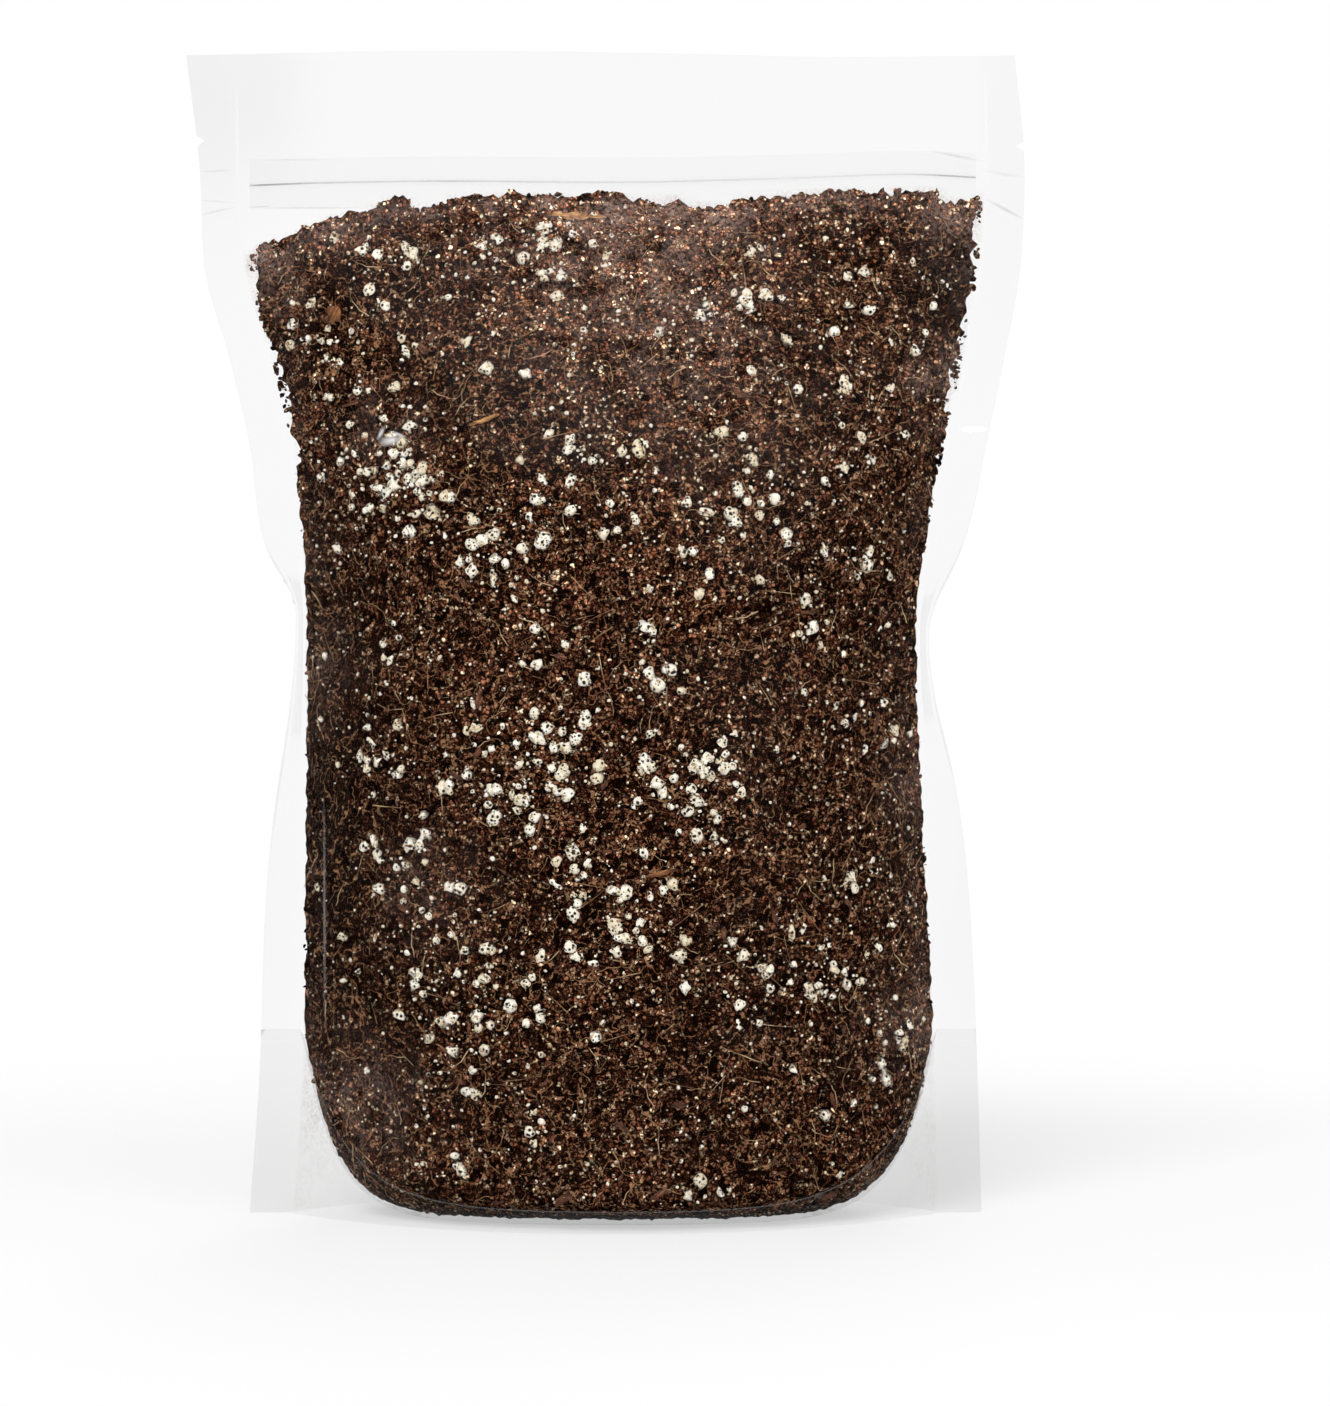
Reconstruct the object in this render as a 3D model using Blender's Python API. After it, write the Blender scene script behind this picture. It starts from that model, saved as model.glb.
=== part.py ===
# A clear stand-up film pouch filled with compost and perlite.
# Metres, +Z up, the front looks along -Y, the origin is on the floor at the middle of the box.

import math

import bmesh
import bpy
import numpy as np
from mathutils import Vector, noise

# Film and seals of the flat pouch
film_thickness = 0.0002
layer_gap = 0.0003          # between two films, and between a film and a zip track
pouch_width = 0.2100
pouch_height = 0.2955
seal_width = 0.0100
gusset_rise = 0.0470        # height of the bottom fold where the side seals hold it
base_seal = 0.0060          # height of the curved bottom seal at the middle
base_seal_power = 4.6       # how late the bottom seal turns up towards the sides
fold_power = 6.0            # how late the fold of the gusset rises towards the sides
base_press = 0.0015         # how deep the weight presses the gusset flat

# Zip
zip_below_top = 0.0325
zip_end_clearance = 0.0025  # from each end of the zip to the side seam
strip_height = 0.0125
strip_thickness = 0.0003
strip_half_gap = 0.0010     # from the middle plane to the inner face of a strip
rib_head_height = 0.0012
rib_head_depth = 0.0005
rib_stem_height = 0.0004
groove_wall = 0.0004
groove_lip = 0.0003

# Tear notches, measured down from the top edge
left_notch_below_top = 0.0209
right_notch_below_top = 0.0240
notch_depth = 0.0020
notch_height = 0.0026

# Filled shape: heights at which the pouch is measured
zip_height = pouch_height - zip_below_top
neck_below_zip = 0.0180
shoulder_below_zip = 0.0480
chest_below_zip = 0.0730
waist_below_zip = 0.1130
station_heights = (
    0.0,
    gusset_rise,
    zip_height - waist_below_zip,
    zip_height - chest_below_zip,
    zip_height - shoulder_below_zip,
    zip_height - neck_below_zip,
    zip_height,
    pouch_height,
)
# How far the filling draws each side seam in from its place on the flat pouch
left_draw = (0.0135, 0.0165, 0.0175, 0.0150, 0.0100, 0.0025, 0.0020, -0.0013)
right_draw = (0.0090, 0.0105, 0.0150, 0.0095, 0.0045, -0.0005, -0.0013, 0.0013)
# How far each panel stands out from the middle plane
half_depth = (0.0400, 0.0430, 0.0435, 0.0385, 0.0290, 0.0115, 0.0, 0.0)

# Side seals that turn to the back where the pouch is drawn in
left_turn = {"angle": math.radians(78), "height": 0.153, "above": 0.018, "below": 0.065}
right_turn = {"angle": math.radians(76), "height": 0.147, "above": 0.024, "below": 0.045}
pinch_depth = 0.0030        # dents that run in from the turned seals
pinch_spread = 0.0090
pinch_reach = 0.35          # share of the half width that a dent runs in
rumple_depth = 0.0013       # soft hollows where the film follows the loose fill
rumple_size = 0.0320
rumple_fade = 0.0120        # the hollows die out where a panel stands out less than this

# Fill
fill_clearance = 0.0006     # from the film's inner face
fill_edge_clearance = 0.0015
fill_base_clearance = 0.0012
fill_top_below_zip = 0.0075
slump_depth = 0.0150        # how much lower the fill lies in its top left corner
slump_width = 0.0340
lump_depth = 0.0014         # crumbs lie back from the film by up to this much
lump_size = 0.0200
lump_floor = 0.3            # share of the surface roughness that still touches the film
lump_gain = 1.6

# Heaps of perlite that press against the film, as sideways place and height
heap_radius = 0.0070
heap_edge = 0.55            # share of a heap's push at which its pale grains end
front_heaps = (
    (-0.068, 0.218), (-0.054, 0.198), (-0.054, 0.183), (-0.064, 0.180), (-0.030, 0.172),
    (-0.032, 0.249), (-0.012, 0.246), (0.029, 0.197), (0.035, 0.182), (0.021, 0.166),
    (0.062, 0.193), (0.054, 0.155), (-0.022, 0.111), (-0.008, 0.120), (0.011, 0.116),
    (0.028, 0.113), (0.024, 0.102), (-0.054, 0.117), (0.067, 0.124), (-0.002, 0.079),
    (0.010, 0.081), (0.039, 0.065), (0.057, 0.063), (-0.040, 0.070), (-0.035, 0.052),
    (-0.050, 0.091), (0.074, 0.042), (-0.020, 0.147), (-0.009, 0.194), (0.032, 0.235),
)
back_heaps = (
    (-0.048, 0.214), (0.030, 0.222), (0.060, 0.190), (-0.010, 0.186), (-0.062, 0.160),
    (0.012, 0.150), (0.055, 0.128), (-0.032, 0.116), (0.034, 0.092), (-0.058, 0.078),
    (0.004, 0.062), (0.062, 0.056), (-0.030, 0.240), (0.066, 0.236),
)

# How the films part and meet
slot_shoulder = 0.0012      # distance over which they open beside a seam
seal_blend = 0.0040         # height over which four sealed layers become two

# Mesh
arc_segments = 20
skirt_rows = 3
bowl_rows = 12
lower_rows = 3
belly_rows = 7
chest_rows = 11
fill_columns = 32
fill_base_rows = 5
fill_side_rows = 26


def clear_scene():
    for item in list(bpy.data.objects):
        bpy.data.objects.remove(item, do_unlink=True)


def make_material(name, colour, roughness, alpha=1.0):
    material = bpy.data.materials.new(name)
    material.use_nodes = True
    shader = material.node_tree.nodes["Principled BSDF"]
    shader.inputs["Base Color"].default_value = (*colour, 1.0)
    shader.inputs["Roughness"].default_value = roughness
    shader.inputs["Metallic"].default_value = 0.0
    shader.inputs["Alpha"].default_value = alpha
    material.diffuse_color = (*colour, alpha)
    return material


def smooth_through(place, places, values):
    # Monotone cubic: no overshoot between the stations
    steps = np.diff(places)
    slopes = np.diff(values) / steps
    tangents = np.zeros(len(places))
    for i in range(1, len(places) - 1):
        if slopes[i - 1] * slopes[i] > 0.0:
            tangents[i] = 2.0 / (1.0 / slopes[i - 1] + 1.0 / slopes[i])
    tangents[0] = slopes[0]
    tangents[-1] = slopes[-1]
    i = int(np.clip(np.searchsorted(places, place) - 1, 0, len(places) - 2))
    t = (place - places[i]) / steps[i]
    rise = t * t * (3.0 - 2.0 * t)
    start_pull = steps[i] * t * (1.0 - t) ** 2 * tangents[i]
    end_pull = steps[i] * t * t * (t - 1.0) * tangents[i + 1]
    return float(values[i] + (values[i + 1] - values[i]) * rise + start_pull + end_pull)


def blend_between(value, start, end):
    t = min(1.0, max(0.0, (value - start) / (end - start)))
    return t * t * (3.0 - 2.0 * t)


def seams(height):
    flat_seam = pouch_width / 2 - seal_width
    left = -flat_seam + smooth_through(height, station_heights, left_draw)
    right = flat_seam - smooth_through(height, station_heights, right_draw)
    return left, right


def seal_turn(height, side):
    turn = left_turn if side < 0 else right_turn
    spread = turn["above"] if height > turn["height"] else turn["below"]
    return turn["angle"] * math.exp(-((height - turn["height"]) / spread) ** 2)


def seal_middle(side, reach, height):
    # The plane between the films of a side seal, "reach" outwards from the seam
    turn = seal_turn(height, side)
    seam = seams(height)[0 if side < 0 else 1]
    return Vector((seam + side * math.cos(turn) * reach, math.sin(turn) * reach, height))


def seal_point(side, reach, height, facing, offset):
    step = 0.0005
    middle = seal_middle(side, reach, height)
    upwards = seal_middle(side, reach, height + step) - middle
    outwards = seal_middle(side, reach + step, height) - middle
    normal = outwards.cross(upwards).normalized() * side
    return middle - normal * facing * offset


def layer_half(height):
    # Half the thickness of the sealed layers: the gusset adds two films below its fold
    two_films = layer_gap / 2 + film_thickness
    four_films = two_films + layer_gap + film_thickness
    fold_top = gusset_rise + film_thickness + layer_gap
    opened = blend_between(height, fold_top, fold_top + seal_blend)
    return four_films + (two_films - four_films) * opened


def slot_depth(height):
    # The films stand apart to pass over the zip strips and meet again above them
    strip_reach = strip_half_gap + strip_thickness + layer_gap + film_thickness - layer_half(height)
    strip_top = zip_height + strip_height / 2
    strip_bottom = zip_height - strip_height / 2
    closing = 1.0 - blend_between(height, strip_top, strip_top + strip_height)
    return strip_reach * blend_between(height, strip_bottom - strip_height, strip_bottom) * closing


def pinch(across, height):
    # Dents beside the turned seals, deepest a little way in from the seam
    side = -1 if across < 0 else 1
    turn = left_turn if side < 0 else right_turn
    along = math.exp(-((height - turn["height"]) / pinch_spread) ** 2)
    inward = (1.0 - abs(across)) / pinch_reach
    return pinch_depth * along * inward * math.exp(1.0 - inward)


def dented(out, across, height, facing):
    # How far the film stands out once its dents and soft hollows are taken off
    place = Vector((across * pouch_width / 2, facing * rumple_size, height)) / rumple_size
    hollow = rumple_depth * (0.5 + 0.5 * noise.noise(place)) * min(1.0, out / rumple_fade)
    return max(out - pinch(across, height) - hollow, 0.0)


def arc_point(across, height, half_width, sag, facing):
    # A circular arc from seam to seam, "across" from -1 to 1
    angle = 2.0 * math.atan2(max(sag, 1e-6), half_width)
    radius = half_width / math.sin(angle)
    x = radius * math.sin(across * angle)
    out = radius * (math.cos(across * angle) - math.cos(angle))
    return x, out, (math.sin(across * angle), facing * math.cos(across * angle))


def film_point(column, height, facing, inset):
    # Columns from -1 to 1 cross the panel, and those beyond lie in the side seals
    left, right = seams(height)
    centre = (left + right) / 2
    half_width = (right - left) / 2
    across = max(-1.0, min(1.0, column))
    side = -1 if across < 0 else 1
    sag = smooth_through(height, station_heights, half_depth)
    half = layer_half(height)
    x, out, arc_normal = arc_point(across, height, half_width, sag, facing)
    out = dented(out, across, height, facing)
    opening = min(1.0, (half_width - abs(x)) / slot_shoulder)
    slot = slot_depth(height) * opening
    if slot > out:
        out = slot
        arc_normal = (0.0, facing)
    reach = (abs(column) - 1.0) * seal_width
    if reach > 0.0:
        return seal_point(side, reach, height, facing, half - inset)
    point = Vector((centre + x, facing * (half + out), height))
    normal = Vector((arc_normal[0], arc_normal[1], 0.0))
    if abs(across) == 1.0:
        point = seal_point(side, 0.0, height, facing, half)
        seal_normal = (point - seal_middle(side, 0.0, height)).normalized()
        normal = (normal + seal_normal) / max(1.0 + normal.dot(seal_normal), 0.5)
    return point - normal * inset


def panel_columns():
    arc = [math.sin(math.pi / 2 * t) for t in np.linspace(-1.0, 1.0, arc_segments + 1)]
    return [-2.0, -1.5] + arc + [1.5, 2.0]


def panel_heights():
    fold_top = gusset_rise + film_thickness + layer_gap
    strip_bottom = zip_height - strip_height / 2
    strip_top = zip_height + strip_height / 2
    waist = zip_height - waist_below_zip
    neck = zip_height - neck_below_zip
    heights = list(np.linspace(0.0, gusset_rise, lower_rows + 1)) + [fold_top]
    heights += list(np.linspace(fold_top + seal_blend, waist, belly_rows + 1))
    heights += list(np.linspace(waist, neck, chest_rows + 1)[1:])
    heights += [(neck + strip_bottom) / 2, strip_bottom, zip_height, strip_top]
    for below_top in (left_notch_below_top, right_notch_below_top):
        middle = pouch_height - below_top
        heights += [middle - notch_height / 2, middle, middle + notch_height / 2]
    heights += [strip_top + strip_height, pouch_height]
    return sorted(heights)


def notched(point, column, height):
    # The outermost column dips in at each side's tear notch
    if abs(column) < 2.0:
        return point
    below_top = left_notch_below_top if column < 0 else right_notch_below_top
    away = abs(height - (pouch_height - below_top)) / (notch_height / 2)
    cut = notch_depth * max(0.0, 1.0 - away)
    return point - Vector((math.copysign(cut, column), 0.0, 0.0))


def grid_mesh(name, rows, flip):
    mesh = bpy.data.meshes.new(name)
    built = bmesh.new()
    verts = [[built.verts.new(point) for point in row] for row in rows]
    for i in range(len(verts) - 1):
        for j in range(len(verts[i]) - 1):
            low_left, low_right = verts[i][j], verts[i][j + 1]
            high_left, high_right = verts[i + 1][j], verts[i + 1][j + 1]
            for corners in ((low_left, low_right, high_right), (low_left, high_right, high_left)):
                built.faces.new(corners[::-1] if flip else corners)
    built.to_mesh(mesh)
    built.free()
    return mesh


def add_object(name, mesh, material):
    item = bpy.data.objects.new(name, mesh)
    bpy.context.scene.collection.objects.link(item)
    mesh.materials.append(material)
    mesh.shade_smooth()
    return item


def thicken(item):
    # The modelled face stays, and the film's thickness goes in behind it
    solidify = item.modifiers.new("film", "SOLIDIFY")
    solidify.thickness = film_thickness
    solidify.offset = -1.0
    solidify.use_even_offset = False


def make_panel(name, facing, material):
    columns = panel_columns()
    rows = []
    for height in panel_heights():
        row = [notched(film_point(c, height, facing, 0.0), c, height) for c in columns]
        rows.append(row)
    item = add_object(name, grid_mesh(name, rows, facing > 0), material)
    thicken(item)
    return item


def bottom_seal_height(across):
    rise = gusset_rise - base_seal
    return base_seal + rise * min(1.0, abs(across)) ** base_seal_power


def bowl_height(across, along):
    # Underside of the gusset between the bottom seals, "along" from -1 (front) to 1 (back)
    seal = bottom_seal_height(across)
    fold = gusset_rise * min(1.0, abs(across)) ** fold_power
    edge = abs(along) ** 3
    if abs(across) >= 1.0:
        return gusset_rise
    return max(0.0, fold + (seal - fold) * edge - base_press * (1.0 - edge))


def make_gusset(material):
    inset = 2 * film_thickness + layer_gap
    columns = panel_columns()
    rows = []
    for facing in (-1, 1):
        skirt = []
        for share in np.linspace(0.0, 1.0, skirt_rows + 1):
            skirt.append([film_point(c, share * bottom_seal_height(c), facing, inset) for c in columns])
        if facing < 0:
            rows += skirt
            front_edge = skirt[-1]
        else:
            back_edge = skirt[-1]
            for along in np.linspace(-1.0, 1.0, bowl_rows + 1)[1:-1]:
                row = []
                for c, front, back in zip(columns, front_edge, back_edge):
                    point = front.lerp(back, (along + 1.0) / 2)
                    point.z = bowl_height(c, along)
                    row.append(point)
                rows.append(row)
            rows += skirt[::-1]
    item = add_object("bottom_gusset", grid_mesh("bottom_gusset", rows, True), material)
    thicken(item)
    return item


def extrude_profile(name, outline, start, end, material):
    # A closed outline of (y, z) points, run along X
    mesh = bpy.data.meshes.new(name)
    built = bmesh.new()
    face = built.faces.new([built.verts.new((start, y, z)) for y, z in outline])
    run = bmesh.ops.extrude_face_region(built, geom=[face])
    moved = [item for item in run["geom"] if isinstance(item, bmesh.types.BMVert)]
    bmesh.ops.translate(built, verts=moved, vec=(end - start, 0.0, 0.0))
    bmesh.ops.recalc_face_normals(built, faces=built.faces)
    built.to_mesh(mesh)
    built.free()
    item = add_object(name, mesh, material)
    mesh.shade_flat()
    return item


def mirrored_outline(upper):
    # Points above the zip's middle height, repeated below it
    points = [(y, zip_height + z) for y, z in upper]
    return points + [(y, zip_height - z) for y, z in reversed(upper)]


def make_zip(material):
    left, right = seams(zip_height)
    start = left + zip_end_clearance
    end = right - zip_end_clearance
    inner = strip_half_gap
    outer = strip_half_gap + strip_thickness
    stem = rib_stem_height / 2
    head = rib_head_height / 2
    head_front = -inner + layer_gap
    head_back = head_front + rib_head_depth
    rib = [
        (outer, strip_height / 2),
        (inner, strip_height / 2),
        (inner, stem),
        (head_back, stem),
        (head_back, head),
        (head_front, head / 2),
    ]
    lip_front = head_back + layer_gap
    lip_back = lip_front + groove_lip
    mouth = stem + layer_gap
    hollow = head + layer_gap
    groove = [
        (-outer, strip_height / 2),
        (-inner, strip_height / 2),
        (-inner, hollow + groove_wall),
        (lip_back, hollow + groove_wall),
        (lip_back, mouth),
        (lip_front, mouth),
        (lip_front, hollow),
        (-inner, hollow),
    ]
    extrude_profile("zip_groove_track", mirrored_outline(groove), start, end, material)
    extrude_profile("zip_rib_track", mirrored_outline(rib), start, end, material)


def fill_top(across):
    left, right = seams(zip_height)
    distance = (across + 1.0) / 2 * (right - left)
    slump = slump_depth * (1.0 - blend_between(distance, 0.0, slump_width))
    return zip_height - fill_top_below_zip - slump


def fill_sheet(facing, across, share):
    # "share" runs 0 to 1 up the gusset's bowl, 1 to 2 up to the fold, 2 to 3 up to the top
    seal = bottom_seal_height(across) + film_thickness + fill_base_clearance
    fold = gusset_rise + film_thickness + fill_base_clearance
    along = 1.0
    if share <= 1.0:
        along = share
        height = seal
    elif share <= 2.0:
        height = seal + (fold - seal) * (share - 1.0)
    else:
        height = fold + (fill_top(across) - fold) * (share - 2.0)
    left, right = seams(height)
    half_width = (right - left) / 2 - fill_edge_clearance
    film = film_thickness + fill_clearance
    sag = layer_half(height) + smooth_through(height, station_heights, half_depth) - film
    x, out, _ = arc_point(across, height, half_width, sag, facing)
    out = dented(out, across, height, facing) * along
    if share >= 3.0:
        out = 0.0
    if share < 1.0:
        height = bowl_height(across, along) + film_thickness + fill_base_clearance
    return Vector(((left + right) / 2 + x, facing * out, height))


def heap_push(point, facing):
    # 1 in the middle of a heap of perlite, fading to 0 around it
    push = 0.0
    for x, height in front_heaps if facing < 0 else back_heaps:
        away = math.hypot(point.x - x, point.z - height) / heap_radius
        push = max(push, math.exp(-away ** 2))
    return push


def lump(point, facing):
    # Crumbs lie back from the film, except where a heap of perlite presses against it
    rough = 0.5 + 0.5 * noise.noise(point / lump_size)
    depth = lump_depth * min(1.0, max(0.0, rough * lump_gain - lump_floor))
    return depth * (1.0 - heap_push(point, facing))


def make_fill(soil, perlite):
    columns = [math.sin(math.pi / 2 * t) for t in np.linspace(-1.0, 1.0, fill_columns + 1)]
    shares = list(np.linspace(0.0, 1.0, fill_base_rows + 1))
    shares += list(np.linspace(1.0, 2.0, lower_rows + 1)[1:])
    shares += list(np.linspace(2.0, 3.0, fill_side_rows + 1)[1:])
    mesh = bpy.data.meshes.new("compost_fill")
    built = bmesh.new()
    for facing in (-1, 1):
        verts = []
        for share in shares:
            row = []
            for across in columns:
                point = fill_sheet(facing, across, share)
                depth = min(lump(point, facing), abs(point.y) * 0.5)
                row.append(built.verts.new(point - Vector((0.0, facing * depth, 0.0))))
            verts.append(row)
        for i in range(len(verts) - 1):
            for j in range(len(columns) - 1):
                corners = [verts[i][j], verts[i][j + 1], verts[i + 1][j + 1], verts[i + 1][j]]
                face = built.faces.new(corners[::-1] if facing > 0 else corners)
                on_heap = heap_push(face.calc_center_median(), facing) > heap_edge
                face.material_index = 1 if on_heap else 0
    bmesh.ops.remove_doubles(built, verts=built.verts, dist=1e-6)
    bmesh.ops.dissolve_degenerate(built, edges=built.edges, dist=1e-6)
    built.to_mesh(mesh)
    built.free()
    item = add_object("compost_fill", mesh, soil)
    mesh.materials.append(perlite)
    return item


def build():
    clear_scene()
    film = make_material("clear_film", (0.94, 0.95, 0.96), 0.12, alpha=0.25)
    track = make_material("zip_polyethylene", (0.88, 0.90, 0.92), 0.25, alpha=0.6)
    soil = make_material("compost", (0.055, 0.028, 0.016), 0.95)
    perlite = make_material("perlite", (0.80, 0.77, 0.68), 0.85)
    make_panel("front_panel", -1, film)
    make_panel("back_panel", 1, film.copy())
    make_gusset(film.copy())
    make_zip(track)
    make_fill(soil, perlite)


build()
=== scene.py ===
import math

import bmesh
import bpy
import numpy as np
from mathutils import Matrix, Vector, noise


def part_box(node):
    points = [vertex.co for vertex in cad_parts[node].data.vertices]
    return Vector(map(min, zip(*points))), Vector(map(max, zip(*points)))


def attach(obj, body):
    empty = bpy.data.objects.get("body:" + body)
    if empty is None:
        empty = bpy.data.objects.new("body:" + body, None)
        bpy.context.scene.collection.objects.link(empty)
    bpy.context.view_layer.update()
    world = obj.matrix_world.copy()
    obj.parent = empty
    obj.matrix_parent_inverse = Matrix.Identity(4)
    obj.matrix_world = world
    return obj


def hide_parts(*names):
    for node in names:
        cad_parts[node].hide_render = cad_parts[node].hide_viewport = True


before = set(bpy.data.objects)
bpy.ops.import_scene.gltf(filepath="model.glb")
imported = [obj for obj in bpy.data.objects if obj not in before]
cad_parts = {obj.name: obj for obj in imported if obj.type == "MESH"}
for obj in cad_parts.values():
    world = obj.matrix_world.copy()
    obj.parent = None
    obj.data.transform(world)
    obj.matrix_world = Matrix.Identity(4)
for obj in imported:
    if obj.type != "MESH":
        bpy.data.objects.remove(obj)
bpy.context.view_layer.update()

zipLow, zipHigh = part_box("zip_groove_track")
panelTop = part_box("front_panel")[1].z

# The pouch as it is cut, sealed and filled, in metres
pouch = {
    "flatWidth": 0.2100,
    "height": panelTop,
    "seal": 0.0100,
    "film": 0.0002,
    "gap": 0.0003,
    "gussetRise": 0.0470,
    "baseSeal": 0.0060,
    "baseSealPower": 4.6,
    "foldPower": 6.0,
    "basePress": 0.0015,
    "zipHeight": (zipLow.z + zipHigh.z) / 2,
    "stripHeight": zipHigh.z - zipLow.z,
    "stripHalfGap": 0.0010,
    "stripThickness": 0.0003,
    "slotShoulder": 0.0012,
    "sealBlend": 0.0040,
    "neckBelowZip": 0.0180,
    "shoulderBelowZip": 0.0480,
    "chestBelowZip": 0.0730,
    "waistBelowZip": 0.1130,
    "leftDraw": (0.0135, 0.0165, 0.0175, 0.0150, 0.0100, 0.0025, 0.0020, -0.0013),
    "rightDraw": (0.0090, 0.0105, 0.0150, 0.0095, 0.0045, -0.0005, -0.0013, 0.0013),
    "halfDepth": (0.0400, 0.0430, 0.0435, 0.0385, 0.0290, 0.0115, 0.0, 0.0),
    "pinchDepth": 0.0030,
    "pinchSpread": 0.0090,
    "pinchReach": 0.35,
    "rumpleDepth": 0.0013,
    "rumpleSize": 0.0320,
    "rumpleFade": 0.0120,
}
sealTurns = {
    -1: {"angle": math.radians(78), "height": 0.153, "above": 0.018, "below": 0.065},
    1: {"angle": math.radians(76), "height": 0.147, "above": 0.024, "below": 0.045},
}
stationHeights = (
    0.0,
    pouch["gussetRise"],
    pouch["zipHeight"] - pouch["waistBelowZip"],
    pouch["zipHeight"] - pouch["chestBelowZip"],
    pouch["zipHeight"] - pouch["shoulderBelowZip"],
    pouch["zipHeight"] - pouch["neckBelowZip"],
    pouch["zipHeight"],
    pouch["height"],
)
leastDepth = 1e-6       # metres, so that nothing is divided by zero


def smoothThrough(place, places, values):
    places, values = np.asarray(places, float), np.asarray(values, float)
    steps = np.diff(places)
    slopes = np.diff(values) / steps
    tangents = np.zeros(len(places))
    tangents[0], tangents[-1] = slopes[0], slopes[-1]
    before, after = slopes[:-1], slopes[1:]
    same = before * after > 0.0
    tangents[1:-1][same] = 2.0 / (1.0 / before[same] + 1.0 / after[same])
    place = np.asarray(place, float)
    i = np.clip(np.searchsorted(places, place) - 1, 0, len(steps) - 1)
    t = (place - places[i]) / steps[i]
    rise = t * t * (3.0 - 2.0 * t)
    pull = steps[i] * t * (1.0 - t) * ((1.0 - t) * tangents[i] - t * tangents[i + 1])
    return values[i] + (values[i + 1] - values[i]) * rise + pull


def blendBetween(value, start, end):
    t = np.clip((np.asarray(value, float) - start) / (end - start), 0.0, 1.0)
    return t * t * (3.0 - 2.0 * t)


def noiseAt(points, size, seed=0.0):
    shift = Vector((seed * 7.3, seed * 3.1, seed * 5.7))
    return np.array([noise.noise(Vector(p) / size + shift) for p in points])


def seamsAt(height):
    flatSeam = pouch["flatWidth"] / 2 - pouch["seal"]
    left = -flatSeam + smoothThrough(height, stationHeights, pouch["leftDraw"])
    right = flatSeam - smoothThrough(height, stationHeights, pouch["rightDraw"])
    return left, right


def insideSeams(points):
    left, right = seamsAt(points[:, 2])
    return np.minimum(points[:, 0] - left, right - points[:, 0])


def softSpots(points, spots):
    # Round soft spots added up: x, height, spread, strength
    total = np.zeros(len(points))
    for x, height, spread, strength in spots:
        away = ((points[:, 0] - x) ** 2 + (points[:, 2] - height) ** 2) / spread ** 2
        total += strength * np.exp(-away)
    return total


def sealMiddle(side, reach, height):
    turn = np.zeros_like(height)
    for sign, sealTurn in sealTurns.items():
        spread = np.where(height > sealTurn["height"], sealTurn["above"], sealTurn["below"])
        own = sealTurn["angle"] * np.exp(-((height - sealTurn["height"]) / spread) ** 2)
        turn = np.where(side == sign, own, turn)
    left, right = seamsAt(height)
    seam = np.where(side < 0, left, right)
    return np.stack([seam + side * np.cos(turn) * reach, np.sin(turn) * reach, height], -1)


def sealSurface(side, reach, height, facing, offset):
    step = 0.0005
    middle = sealMiddle(side, reach, height)
    upwards = sealMiddle(side, reach, height + step) - middle
    outwards = sealMiddle(side, reach + step, height) - middle
    normal = np.cross(outwards, upwards)
    normal *= (side / np.linalg.norm(normal, axis=1))[:, None]
    return middle - normal * facing * offset[:, None]


def layerHalf(height):
    twoFilms = pouch["gap"] / 2 + pouch["film"]
    fourFilms = twoFilms + pouch["gap"] + pouch["film"]
    foldTop = pouch["gussetRise"] + pouch["film"] + pouch["gap"]
    opened = blendBetween(height, foldTop, foldTop + pouch["sealBlend"])
    return fourFilms + (twoFilms - fourFilms) * opened


def slotDepth(height):
    half = pouch["stripHeight"] / 2
    top, bottom = pouch["zipHeight"] + half, pouch["zipHeight"] - half
    reach = pouch["stripHalfGap"] + pouch["stripThickness"] + pouch["gap"] + pouch["film"]
    opening = blendBetween(height, bottom - 2 * half, bottom)
    closing = 1.0 - blendBetween(height, top, top + 2 * half)
    return (reach - layerHalf(height)) * opening * closing


def dented(out, across, height, facing):
    # The same dents and soft hollows as the solids, so that fill and film keep their gap
    depth = np.zeros_like(out)
    for side, turn in sealTurns.items():
        along = np.exp(-((height - turn["height"]) / pouch["pinchSpread"]) ** 2)
        inward = (1.0 - np.abs(across)) / pouch["pinchReach"]
        pinch = pouch["pinchDepth"] * along * inward * np.exp(1.0 - inward)
        depth = np.where(across * side > 0.0, pinch, depth)
    size = pouch["rumpleSize"]
    places = np.stack([across * pouch["flatWidth"] / 2, np.full_like(out, facing * size), height], -1)
    hollow = pouch["rumpleDepth"] * (0.5 + 0.5 * noiseAt(places, size))
    return np.maximum(out - depth - hollow * np.minimum(1.0, out / pouch["rumpleFade"]), 0.0)


def arcSurface(across, halfWidth, sag):
    angle = 2.0 * np.arctan2(np.maximum(sag, leastDepth), halfWidth)
    radius = halfWidth / np.sin(angle)
    x = radius * np.sin(across * angle)
    out = radius * (np.cos(across * angle) - np.cos(angle))
    return x, out, across * angle


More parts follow.
